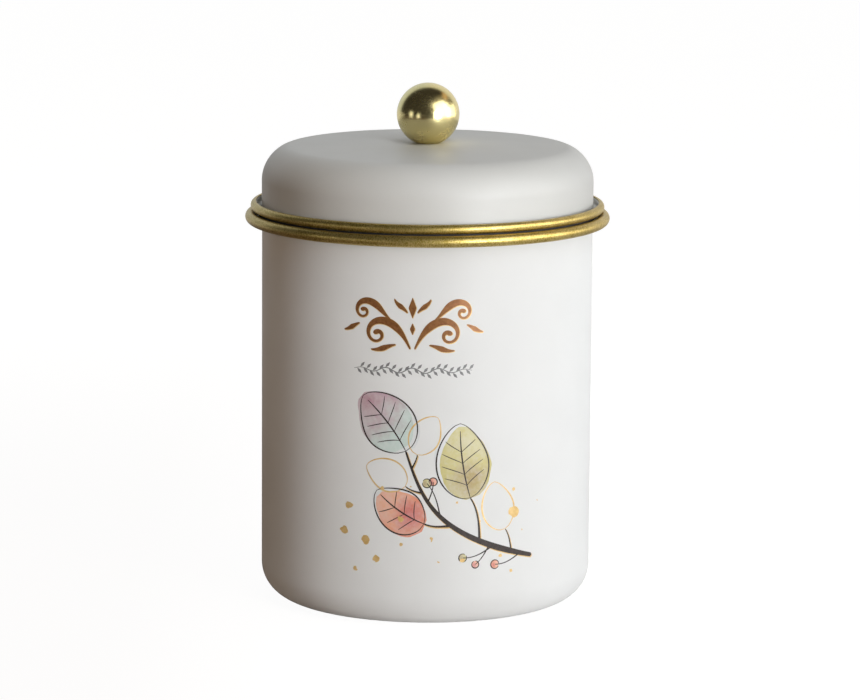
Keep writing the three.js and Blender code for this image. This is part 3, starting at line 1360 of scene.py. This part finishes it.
@dataclass(frozen=True)
class Stroke:
    """A pen stroke on the flat print: each bend has a length and a turn in degrees."""

    start: Point
    heading: float
    bends: tuple[tuple[float, float], ...]
    widths: tuple[float, ...]
    pointed: bool = False
    step: float = 0.25
    thinnest: float = 0.01
    softening: int = 8
    twig_ease: float = 0.3
    twig_taper: Point = (0.7, 0.55)

    def line(self) -> np.ndarray:
        """Walks the stroke, whose bends run into each other.

        Returns:
            The points of its middle line.
        """
        lengths = np.array([length for length, _ in self.bends])
        turns = np.radians([turn for _, turn in self.bends])
        total = lengths.sum()
        count = max(12, round(total / self.step))
        knots = np.concatenate([[0.0], np.cumsum(lengths)])
        at = (np.arange(count) + 0.5) / count * total
        curvature = np.interp(at, (knots[1:] + knots[:-1]) / 2, turns / lengths)
        turned = np.concatenate([[0.0], np.cumsum(curvature) * total / count])
        heading = math.radians(self.heading) + turned
        middle = (heading[1:] + heading[:-1]) / 2
        steps = np.stack([np.cos(middle), np.sin(middle)], 1) * total / count
        return np.vstack([[self.start], np.array(self.start) + np.cumsum(steps, 0)])

    def radii(self, count: int) -> np.ndarray:
        """Half widths at evenly spaced points, softened, with round ends.

        Args:
            count: Number of points.

        Returns:
            One half width for each point.
        """
        share = np.linspace(0, 1, count)
        half = np.interp(share, np.linspace(0, 1, len(self.widths)), self.widths) / 2
        window = max(3, count // self.softening | 1)
        half = np.convolve(np.pad(half, window // 2, mode="edge"), np.ones(window) / window, "valid")
        if not self.pointed:
            gap = np.minimum(share, 1 - share) * count * self.step
            half = half * np.sqrt(1 - np.clip(1 - gap / half, 0, 1) ** 2)
        return np.maximum(half, self.thinnest)

    def mirrored(self) -> "Stroke":
        """The same stroke on the other side of the upright axis."""
        bends = tuple((length, -turn) for length, turn in self.bends)
        return replace(self, start=(-self.start[0], self.start[1]), heading=180 - self.heading, bends=bends)

    def moved(self, across: float, up: float) -> "Stroke":
        """The same stroke in another place."""
        return replace(self, start=(self.start[0] + across, self.start[1] + up))

    def at(self, share: float) -> tuple[Point, float]:
        """A place on the stroke.

        Args:
            share: Share of its length.

        Returns:
            The point and the heading in degrees.
        """
        line = self.line()
        i = round(share * (len(line) - 1))
        way = line[min(i + 1, len(line) - 1)] - line[max(i - 1, 0)]
        return tuple(line[i]), math.degrees(math.atan2(way[1], way[0]))

    def twig(self, share: float, lean: float, length: float, turn: float, width: float = 0.85) -> "Stroke":
        """A side stem that leaves this one.

        Args:
            share: Share of this stroke's length at which it leaves.
            lean: Angle between the two in degrees.
            length: Its length.
            turn: How far its outer half turns in degrees.
            width: Its width at the foot.

        Returns:
            The side stem.
        """
        spot, heading = self.at(share)
        bends = ((length / 2, turn * self.twig_ease), (length / 2, turn))
        middle, tip = (width * taper for taper in self.twig_taper)
        return Stroke(spot, heading + lean, bends, (width, middle, tip))

    def leaf(self, lean: float, length: float, width: float, turn: float, **more: object) -> "Leaf":
        """A leaf at the end of this stalk.

        Args:
            lean: Angle between stalk and leaf in degrees.
            length: Its length.
            width: Its width.
            turn: How far its middle line turns in degrees.
            more: Other fields of the leaf.

        Returns:
            The leaf.
        """
        spot, heading = self.at(1)
        return Leaf(spot, heading + lean, length, width, turn, **more)


@dataclass(frozen=True)
class Leaf:
    """A round leaf on the flat print, from its stalk to its tip."""

    start: Point
    heading: float
    length: float
    width: float
    turn: float = 0.0
    fullness: float = 0.62
    veins: int = 4
    shift: Point = (0.0, 0.0)
    vein_root: float = 0.17
    vein_spread: float = 0.6
    vein_rise: float = 0.19
    vein_bend: float = 0.85
    vein_reach: float = 0.8
    vein_points: int = 14
    midrib_gap: int = 4
    skew: float = 0.85

    def frame(self, count: int = 40) -> tuple[np.ndarray, np.ndarray, np.ndarray]:
        """The leaf's middle line, its sideways directions and its half widths.

        Args:
            count: Number of chords along the leaf.

        Returns:
            Three arrays with one row for each point along it.
        """
        bends = ((self.length, self.turn),)
        spine = Stroke(self.start, self.heading, bends, (1.0,), step=self.length / count).line()
        share = np.linspace(0, 1, len(spine))
        half = self.width / 2 * np.sin(np.pi * share ** self.skew) ** self.fullness
        way = np.gradient(spine, axis=0)
        way /= np.linalg.norm(way, axis=1)[:, None]
        return spine, np.stack([-way[:, 1], way[:, 0]], 1), half

    def edges(self) -> list[np.ndarray]:
        """The lines of the leaf.

        Returns:
            Both edges, the midrib and the side veins.
        """
        spine, side, half = self.frame()
        lines = [spine + side * half[:, None] * s for s in (1, -1)] + [spine[:-self.midrib_gap]]
        share = np.linspace(0, 1, len(spine))
        reach = np.linspace(0, self.vein_reach, self.vein_points)
        rise = self.vein_rise * reach ** self.vein_bend
        for k in range(self.veins):
            rows = self.vein_root + self.vein_spread * k / self.veins + rise
            for s in (1, -1):
                spots = [np.interp(rows, share, v) for v in (*spine.T, *side.T, half)]
                lines.append(np.stack([spots[i] + spots[2 + i] * spots[4] * reach * s for i in (0, 1)], 1))
        return lines

    def sheet(self, name: str, grow: float = 1.0, rows: int = 40, columns: int = 22) -> Piece:
        """The filled leaf as a flat grid with a map called shape.

        Args:
            name: Name of the object.
            grow: Factor on its width.
            rows: Cells along it.
            columns: Cells across it.

        Returns:
            The flat object.
        """
        spine, side, half = self.frame(rows)
        across = np.linspace(-1, 1, columns + 1)
        spots = [(*(spine[i] + side[i] * half[i] * grow * s + np.array(self.shift)), 0.0)
            for i in range(1, rows) for s in across]
        wide = columns + 1
        corners = [i * wide + k for i in range(rows - 2) for k in range(columns)]
        made = link_mesh(name, spots, [(c + wide, c + wide + 1, c + 1, c) for c in corners])
        chart = made.data.uv_layers.new(name="shape")
        for loop in made.data.loops:
            i, k = divmod(loop.vertex_index, wide)
            chart.data[loop.index].uv = ((i + 1) / rows, k / columns)
        return made


@dataclass(frozen=True)
class Brush:
    """How far and how finely the edge of a filled shape wanders."""

    reach: float
    grain: float
    seed: float

    def values(self) -> dict[str, float]:
        """The inputs that a film's wobble takes."""
        return {"Wobble": self.reach * MM, "Wobble_scale": self.grain, "Wobble_seed": self.seed}

    def reseeded(self, more: float) -> "Brush":
        """The same brush with a higher seed."""
        return replace(self, seed=self.seed + more)


def pen_curves(name: str, strokes: Iterable[tuple[np.ndarray, np.ndarray]]) -> Piece:
    """Makes a curve object from flat lines.

    Args:
        name: Name of the object.
        strokes: Points and half widths of each line, in millimetres.

    Returns:
        The curve object, with its half widths as radii.
    """
    curve = bpy.data.curves.new(name, "CURVE")
    curve.dimensions = "3D"
    for line, half in strokes:
        spline = curve.splines.new("POLY")
        spline.points.add(len(line) - 1)
        rows = np.zeros((len(line), 4))
        rows[:, :2], rows[:, 3] = line * MM, 1.0
        spline.points.foreach_set("co", rows.ravel())
        spline.points.foreach_set("radius", np.broadcast_to(half * MM, (len(line),)).astype(float))
    return link_object(name, curve)


@dataclass(frozen=True)
class Print:
    """The printed front: a scroll ornament, a thin garland and a spray of round leaves."""

    can: Can
    looks: dict[str, Material]
    patch: PatchFilm = field(default_factory=PatchFilm)
    pen: PenFilm = field(default_factory=PenFilm)
    leaflets: GarlandFilm = field(default_factory=GarlandFilm)
    flecks: FleckFilm = field(default_factory=FleckFilm)
    root_depth: float = 0.03
    scroll_at: Point = (-4.6, 101.2)
    garland_at: Point = (-4.6, 85.6)
    garland_width: float = 39.0
    garland_wave: float = 0.85
    garland_waves: float = 4.5
    vine_leaflets: int = 36
    leaflet_length: float = 2.2
    vine_points: int = 160
    vine_bare: int = 4
    vine_fade: float = 0.4
    spray_at: Point = (3.6, 22.6)
    fleck_area: tuple[Point, Point] = ((-33, -5), (38, 26))
    vine_half: float = 0.15
    outline_half: float = 0.21
    vein_half: float = 0.13
    gilt_half: float = 0.22
    berry_half: float = 0.16
    line_end: float = 0.45
    line_swell: float = 0.75
    line_fade: float = 0.6
    wash_shift: float = 1.3
    wash_grow: float = 0.92
    tint_grow: float = 0.97
    berry_size: float = 2.9
    berry_step: float = 0.25
    ring_share: float = 0.93
    ring_points: int = 30
    wash_brush: Brush = Brush(reach=1.6, grain=150.0, seed=1.0)
    tint_brush: Brush = Brush(reach=1.3, grain=190.0, seed=0.0)
    berry_brush: Brush = Brush(reach=0.3, grain=500.0, seed=0.0)
    fleck_brush: Brush = Brush(reach=1.8, grain=760.0, seed=2.0)

    def film(self, layer: Layer) -> dict[str, float]:
        """Values that every film takes: the can's radius and the height of its layer."""
        root = -self.root_depth * MM
        return {"Can_radius": self.can.radius * MM, "Film": layer.value * MM * MM, "Root": root}

    def trace(self, name: str, lines: Iterable[tuple[np.ndarray, np.ndarray]], ink: str, layer: Layer,
            widen: float = 0.0) -> None:
        """Draws lines with their half widths as one piece.

        Args:
            name: Name of the piece.
            lines: Points and half widths of each line.
            ink: Name of the ink, which is its slot as well.
            layer: Layer of the print.
            widen: Added to each half width.
        """
        path = pen_curves(name + "_path", lines)
        piece = self.pen.run(path, name, self.looks[ink], Widen=widen * MM, **self.film(layer))
        settle(piece, Body.CAN, ink)

    def draw(self, name: str, strokes: Sequence[Stroke], ink: str, layer: Layer, widen: float = 0.0,
            shift: Point = (0.0, 0.0)) -> None:
        """Draws pen strokes as one piece.

        Args:
            name: Name of the piece.
            strokes: The strokes.
            ink: Name of the ink.
            layer: Layer of the print.
            widen: Added to each half width.
            shift: Moves the strokes across and up.
        """
        lines = [stroke.line() for stroke in strokes]
        widths = [stroke.radii(len(line)) for stroke, line in zip(strokes, lines)]
        self.trace(name, zip([line + np.array(shift) for line in lines], widths), ink, layer, widen)

    def rule(self, name: str, lines: Sequence[np.ndarray], half: float, ink: str, layer: Layer) -> None:
        """Draws thin lines that fade at both ends as one piece.

        Args:
            name: Name of the piece.
            lines: Points of each line.
            half: Half width in the middle of a line, about.
            ink: Name of the ink.
            layer: Layer of the print.
        """
        swells = (np.sin(np.pi * np.linspace(0, 1, len(line))) ** self.line_fade for line in lines)
        widths = [half * (self.line_end + self.line_swell * swell) for swell in swells]
        self.trace(name, zip(lines, widths), ink, layer)

    def fill(self, name: str, flat: Piece, tint: str, layer: Layer, brush: Brush) -> None:
        """Fills a flat shape as one piece.

        Args:
            name: Name of the piece.
            flat: The shape.
            tint: Name of the paint.
            layer: Layer of the print.
            brush: How its edge wanders.
        """
        piece = self.patch.run(flat, name, self.looks[tint], **brush.values(), **self.film(layer))
        settle(piece, Body.CAN, "ink_wash")

    def scroll(self) -> None:
        """Draws the mirrored scroll ornament with its thin gold edge."""
        half = [
            Stroke((0.7, -8.6), 66, ((6, -10), (7, -42), (7, -90), (5, -98), (3.4, -102), (2.2, -105),
                (1.0, -50)), (0.4, 1.2, 2.6, 2.5, 1.5, 0.9, 0.8, 1.8)),
            Stroke((7.3, 1.0), 40, ((4.6, 12), (4.6, -36), (5.4, -92), (3.9, -100), (2.6, -104), (1.6, -98),
                (0.8, -40)), (0.4, 1.3, 2.4, 2.1, 1.3, 0.75, 0.7, 1.5)),
            Stroke((17.6, -0.6), -22, ((3.0, -14), (3.2, 30)), (0.35, 1.6, 0.35)),
            Stroke((5.4, -7.2), -10, ((4.2, -16), (4.4, 36)), (0.35, 1.9, 0.35)),
            Stroke((1.6, 3.2), 54, ((3.4, -26), (3.0, 40)), (0.35, 1.6, 0.3)),
        ]
        middle = [
            Stroke((0, 1.6), 90, ((6.6, 0),), (0.1, 2.6, 0.1), pointed=True),
            Stroke((0, -3.8), 90, ((3.6, 0),), (0.1, 1.7, 0.1), pointed=True),
        ]
        strokes = [s.moved(*self.scroll_at) for s in half + [s.mirrored() for s in half] + middle]
        self.draw("scroll_gilt_edge", strokes, "ink_gold", Layer.GILT, widen=0.12, shift=(0.1, -0.12))
        self.draw("scroll", strokes, "ink_bronze", Layer.INK)

    def garland(self) -> None:
        """Draws the thin garland: a waved vine with leaflets along it."""
        share = np.linspace(0, 1, self.vine_points)
        across = self.garland_at[0] + (share - 0.5) * self.garland_width
        fade = np.sin(np.pi * share) ** self.vine_fade
        up = self.garland_at[1] + self.garland_wave * np.sin(share * math.tau * self.garland_waves) * fade
        vine = np.stack([across, up], 1)
        self.rule("garland_vine", [vine], self.vine_half, "ink_wash", Layer.INK)
        leafy = vine[self.vine_bare:-self.vine_bare]
        path = pen_curves("garland_path", [(leafy, np.array(self.vine_half))])
        leaflets = self.leaflets.run(path, "garland_leaflets", self.looks["ink_wash"],
            Leaflets=self.vine_leaflets, Leaflet_length=self.leaflet_length * MM, **self.film(Layer.INK))
        settle(leaflets, Body.CAN, "ink_wash")

    def spray(self) -> None:
        """Draws the spray: leaves in loose washes, stems, gold outlines, berries and flecks."""
        x, y = self.spray_at
        stem = Stroke((x + 34, y), 166, ((15, -5), (17, -16), (17, -34), (12, -6)),
            (1.3, 2.1, 1.8, 1.4, 1.0, 0.6))
        olive, coral = stem.twig(0.34, -66, 15, 26), stem.twig(0.52, 44, 9, -24)
        right = stem.twig(0.14, -66, 8, 20, 0.6)
        left = stem.twig(0.76, 52, 6, -24, 0.6)
        upper = stem.twig(0.9, -50, 5, 16, 0.6)
        self.painted("leaf_mint", stem.leaf(10, 23, 17.5, 24, shift=(-1.0, 0.3)), "mint", 71)
        self.painted("leaf_olive", olive.leaf(-16, 25, 17.5, -18, shift=(1.0, -0.5)), "olive", 12)
        self.painted("leaf_coral", coral.leaf(2, 19, 14.5, -26, veins=3, shift=(0.6, -0.8)), "coral", 33)
        gilt = [right.leaf(-8, 16.5, 11.5, -20), left.leaf(4, 14.5, 10.5, 20), upper.leaf(-6, 14, 10, -24)]
        rims = [edge for leaf in gilt for edge in leaf.edges()[:2]]
        self.rule("gilt_leaves", rims, self.gilt_half, "ink_gold", Layer.GILT)
        stems = [stem, olive, coral, right, left, upper]
        places = ((0.08, 48, 10, -30), (0.26, 54, 11, -30), (0.28, 84, 8, -20), (0.6, -36, 12, 24),
            (0.7, -58, 7, 20))
        stalks = [stem.twig(*place, 0.5) for place in places]
        self.draw("stems_gilt_edge", stems, "ink_gold", Layer.GILT, widen=0.06, shift=(0.24, -0.32))
        self.draw("stems", stems + stalks, "ink_line", Layer.INK)
        self.berries([stalk.at(1)[0] for stalk in stalks])
        (left, low), (right, high) = ((x + a, y + u) for a, u in self.fleck_area)
        self.strew([(left, low, 0), (right, low, 0), (right, high, 0), (left, high, 0)])

    def painted(self, name: str, leaf: Leaf, tint: str, seed: int) -> None:
        """Draws one painted leaf: a pale wash behind it, its tint and its lines.

        Args:
            name: Name of the piece.
            leaf: The leaf.
            tint: Name of its watercolour.
            seed: Seed of its brushed edge.
        """
        back = replace(leaf, shift=(-leaf.shift[0] * self.wash_shift, -leaf.shift[1]))
        behind, flat = back.sheet(name + "_back", self.wash_grow), leaf.sheet(name + "_flat", self.tint_grow)
        self.fill(name + "_wash", behind, "wash", Layer.WASH, self.wash_brush.reseeded(seed))
        self.fill(name, flat, tint, Layer.TINT, self.tint_brush.reseeded(seed))
        lines = leaf.edges()
        self.rule(name + "_outline", lines[:3], self.outline_half, "ink_line", Layer.INK)
        self.rule(name + "_veins", lines[3:], self.vein_half, "ink_line", Layer.INK)

    def berries(self, spots: Sequence[Point]) -> None:
        """Draws the berries, each a tinted disc with an inked ring.

        Args:
            spots: Their middles, at the ends of the stalks.
        """
        rings = []
        for k, spot in enumerate(spots):
            size = self.berry_size - self.berry_step * (k % 3)
            disc = Leaf((spot[0] - size / 2, spot[1]), 0, size, size, fullness=0.5)
            flat = disc.sheet(f"berry_{k}_flat", rows=16, columns=12)
            tint = ("coral", "olive")[k % 2]
            self.fill(f"berry_{k + 1}", flat, tint, Layer.TINT, self.berry_brush.reseeded(k))
            turn = np.linspace(0, math.tau * self.ring_share, self.ring_points) + k
            rings.append(np.array(spot) + size / 2 * np.stack([np.cos(turn), np.sin(turn)], 1))
        self.rule("berry_rings", rings, self.berry_half, "ink_line", Layer.INK)

    def strew(self, corners: Sequence[tuple[float, float, float]]) -> None:
        """Strews the gold flecks as one piece.

        Args:
            corners: The four corners of their area.
        """
        area = link_mesh("fleck_area", corners, [(0, 1, 2, 3)])
        strewn = self.flecks.run(area, "gilt_flecks", self.looks["ink_gold"], Density=16000.0,
            Spacing=6.6 * MM, Seed=8, Smallest=0.3 * MM, Largest=2.1 * MM, **self.fleck_brush.values(),
            **self.film(Layer.FLECK))
        settle(strewn, Body.CAN, "ink_gold")

    def build(self) -> None:
        """Draws the whole print."""
        for figure in (self.scroll, self.garland, self.spray):
            figure()


# The studio, in metres


@dataclass(frozen=True)
class Lamp:
    """A soft rectangular lamp, placed by its direction from the canister."""

    name: str
    azimuth: float
    elevation: float
    width: float
    height: float
    level: float
    colour: Colour = WHITE
    reach: Reach = Reach.ALL
    distance: float = 1.3
    aim: float = 0.08

    def hang(self) -> None:
        """Hangs the lamp; azimuth 0 is in front of the canister and 90 to its right."""
        a, e = math.radians(self.azimuth), math.radians(self.elevation)
        way = Vector((math.sin(a) * math.cos(e), -math.cos(a) * math.cos(e), math.sin(e)))
        data = bpy.data.lights.new(self.name, "AREA")
        data.shape, data.size, data.size_y = "RECTANGLE", self.width, self.height
        data.energy = self.level * self.width * self.height * math.pi
        data.color = self.colour
        lamp = link_object(self.name, data)
        lamp.location = Vector((0, 0, self.aim)) + way * self.distance
        lamp.rotation_mode = "QUATERNION"
        lamp.rotation_quaternion = way.to_track_quat("Z", "Y")
        lamp.visible_diffuse = self.reach is not Reach.MIRRORED
        lamp.visible_glossy = self.reach is not Reach.DULL


@dataclass(frozen=True)
class Studio:
    """Camera, floor, surroundings and lamps."""

    distance: float = 1.5294
    height: float = 0.3463
    pitch: float = 9.769
    yaw: float = 0.0436
    roll: float = 0.406
    focal_pixels: float = 4641.05
    picture_width: float = 860.0
    sensor: float = 36.0
    floor_reach: float = 6.0
    floor_front: float = 0.85
    floor_left: Colour = (0.14, 0.075, 0.037)
    floor_right: Colour = (0.74, 0.72, 0.71)
    floor_far: Colour = (0.60, 0.57, 0.54)
    far_from: float = 0.12
    far_to: float = 0.7
    edge_from: float = -0.1
    edge_to: float = 0.05
    glow_level: float = 1.26
    glow_share: float = 0.76
    mirror_near: float = 0.02
    mirror_far: float = 0.55
    warm_corner: Colour = (0.215, 0.13, 0.06)
    dim_room: Colour = (0.036, 0.032, 0.028)
    backdrop_left: Colour = (0.68, 0.73, 0.77)
    backdrop_right: Colour = (0.85, 0.84, 0.83)
    backdrop_edge: Point = (0.4, 0.62)
    corner_edge: Point = (0.65, 0.35)
    side_blur: float = 0.2
    lamps: tuple[Lamp, ...] = (
        Lamp("window_low", 35, 3, 0.46, 0.6, 14.2, (0.965, 1.0, 1.03)),
        Lamp("window_high", 20, 40, 0.5, 0.68, 2.4, (0.98, 1.0, 1.03), Reach.DULL),
        Lamp("ceiling", 18, 74, 0.6, 0.6, 2.95, (0.98, 1.0, 1.0), Reach.DULL),
        Lamp("window_middle", 62, 16, 0.72, 1.2, 0.4, WHITE, Reach.DULL),
        Lamp("window_far", 98, 19, 0.9, 1.45, 0.25, WHITE, Reach.DULL),
        Lamp("room_left", -18, 2, 1.0, 0.8, 0.55, (1.04, 0.93, 0.82), Reach.DULL),
        Lamp("window_glare", 52, 20, 1.14, 1.36, 2.7, WHITE, Reach.MIRRORED, 1.28),
        Lamp("window_slope", 82, 13, 0.46, 1.1, 2.2, (1.0, 0.995, 0.97), Reach.MIRRORED, 1.28),
        Lamp("window_end", 97, 5, 1.05, 0.8, 2.0, (1.0, 0.99, 0.95), Reach.MIRRORED, 1.28),
        Lamp("warm_shelf", 113, 46, 0.6, 0.32, 0.5, (1.0, 0.60, 0.28), Reach.MIRRORED),
        Lamp("window_halo", 66, 26, 2.6, 1.9, 0.16, (1.0, 0.9, 0.7), Reach.MIRRORED, 1.29),
        Lamp("far_window", -65, 3, 0.29, 0.46, 1.5, WHITE, Reach.MIRRORED),
        Lamp("far_door", -36, 1, 0.2, 0.34, 2.2, WHITE, Reach.MIRRORED),
    )

    def camera(self) -> None:
        """Sets up the camera at the photograph's place and angle."""
        pitch, yaw, roll = (math.radians(v) for v in (self.pitch, self.yaw, self.roll))
        ahead = Vector((math.sin(yaw) * math.cos(pitch), math.cos(yaw) * math.cos(pitch), -math.sin(pitch)))
        right = ahead.cross(Vector((0, 0, 1))).normalized()
        up = right.cross(ahead)
        across = right * math.cos(roll) + up * math.sin(roll)
        above = up * math.cos(roll) - right * math.sin(roll)
        data = bpy.data.cameras.new("camera")
        data.sensor_width, data.sensor_fit = self.sensor, "HORIZONTAL"
        data.lens = self.focal_pixels * self.sensor / self.picture_width
        data.clip_start, data.clip_end = 0.05, 60.0
        camera = link_object("camera", data)
        turned = Matrix((across, above, -ahead)).transposed().to_4x4()
        camera.matrix_world = Matrix.Translation((0, -self.distance, self.height)) @ turned
        bpy.context.scene.camera = camera

    def floor(self) -> None:
        """Lays the white floor, which shows white but keeps the canister's soft shadow."""
        r, front = self.floor_reach / MM, self.floor_front / MM
        floor = link_mesh("floor", [(-r, -front, 0), (r, -front, 0), (r, r, 0), (-r, r, 0)], [(0, 1, 2, 3)])
        paper = Surface("pale_paper", Roughness=0.9)
        side, behind, _ = paper.split(paper.spot)
        far = paper.ramp(behind, self.far_from, self.far_to)
        rightward = paper.span(side, self.edge_from, self.edge_to)
        near = paper.blend(rightward, self.floor_left, self.floor_right)
        paper.drive("Base Color", paper.blend(far, near, self.floor_far))
        seen = paper.times(paper.seen_directly(), self.glow_share)
        glossy = paper.out("ShaderNodeLightPath", get="Is Glossy Ray")
        mirrored = paper.times(glossy, paper.span(far, 0, 1, self.mirror_near, self.mirror_far))
        glow = paper.out("ShaderNodeEmission", ("Color", (*WHITE, 1.0)), ("Strength", self.glow_level))
        mix = paper.out("ShaderNodeMixShader", (0, paper.calc("MAXIMUM", seen, mirrored)),
            (1, paper.shader.outputs[0]), (2, glow))
        paper.tree.links.new(mix, paper.tree.nodes["Material Output"].inputs["Surface"])
        floor.data.materials.append(paper.material)

    def surroundings(self) -> None:
        """Makes the world: a pale backdrop behind the canister and a dim warm room in front of it."""
        world = bpy.data.worlds.new("room")
        world.use_nodes = True
        bpy.context.scene.world = world
        board = Board(world.node_tree)
        side, behind, up = board.split(board.out("ShaderNodeTexCoord", get="Generated"))
        left = board.ramp(side, self.side_blur, -self.side_blur)
        right = board.ramp(side, -self.side_blur, self.side_blur)
        corner = board.times(left, board.ramp(up, *self.corner_edge))
        warm = board.times(corner, board.out("ShaderNodeLightPath", get="Is Diffuse Ray"))
        backdrop = board.blend(right, self.backdrop_left, self.backdrop_right)
        front = board.blend(warm, self.dim_room, self.warm_corner)
        room = board.blend(board.ramp(behind, *self.backdrop_edge), front, backdrop)
        shown = board.blend(board.seen_directly(), room, WHITE)
        board.tree.links.new(shown, board.tree.nodes["Background"].inputs["Color"])

    def build(self) -> None:
        """Sets up the whole studio."""
        self.camera()
        self.floor()
        self.surroundings()
        for lamp in self.lamps:
            lamp.hang()
        bpy.context.scene.view_settings.view_transform = "Standard"


def finishes() -> dict[str, Material]:
    """Builds every finish of the canister.

    Returns:
        The materials by their names.
    """
    made = [
        Enamel("can_enamel", CAN_WHITE, roughness=0.48, sheen=0.3, chalk=0.7),
        Enamel("lid_enamel", (0.61, 0.605, 0.58), roughness=0.48, sheen=0.5, chalk=0.0),
        GoldPaint("gold_paint", (0.25, 0.175, 0.012), (0.66, 0.505, 0.19), roughness=0.38),
        PlatedMetal("knob_brass", (0.81, 0.70, 0.34), roughness=0.15, haze=0.18),
        PlatedMetal("tinplate", (0.62, 0.63, 0.64), roughness=0.26, haze=0.12, streak=0.05),
        PlatedMetal("zinc_plate", (0.56, 0.58, 0.60), roughness=0.24, haze=0.14),
        # Painted shade: the seal is set near black so that the narrow slot between the two trim rings stays
        # dark
        Rubber("silicone", (0.069, 0.07, 0.074)),
        Ink("ink_bronze", (0.20, 0.075, 0.02), (0.29, 0.12, 0.035), metallic=0.35, roughness=0.4),
        Ink("ink_gold", (0.66, 0.43, 0.15), (0.80, 0.58, 0.26), metallic=0.3, roughness=0.4,
            patch_grain=500),
        Ink("ink_line", (0.014, 0.009, 0.008), (0.036, 0.021, 0.016), metallic=0.0, roughness=0.6),
        Ink("ink_wash", (0.17, 0.17, 0.17), (0.25, 0.25, 0.25), metallic=0.0, roughness=0.5),
        Watercolour("wash", (0.62, 0.66, 0.66), (0.68, 0.70, 0.70), (0.6, 0.64, 0.62), body=0.5),
        Watercolour("mint", (0.48, 0.62, 0.56), (0.50, 0.30, 0.36), (0.33, 0.06, 0.12), body=0.72,
            pool_at=(0.92, 0.5)),
        Watercolour("olive", (0.52, 0.45, 0.16), (0.60, 0.54, 0.24), (0.34, 0.22, 0.02), body=0.92,
            pool_at=(0.25, 0.45)),
        Watercolour("coral", (0.72, 0.26, 0.15), (0.82, 0.42, 0.28), (0.6, 0.09, 0.08), body=0.9,
            pool_at=(0.35, 0.4)),
    ]
    return {finish.name: finish.material() for finish in made}


def main() -> None:
    """Builds the studio and dresses the canister."""
    logging.basicConfig(level=logging.INFO, format="%(message)s")
    looks = finishes()
    Studio().build()
    lathe = Lathe(looks)
    can = Can(lathe)
    lid = Lid(lathe, can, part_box("lid_shell")[0].z / MM)
    for assembly in (can, lid, Knob(lathe, lid.seat + lid.height), Print(can, looks)):
        assembly.build()
    slots = {part["node"]: part["material_slot"] for part in frame["record"]["subparts"]}
    for name, node in frame["nodes"].items():
        node.data.materials.clear()
        node.data.materials.append(looks[slots[name]])


if __name__ == "__main__":
    main()
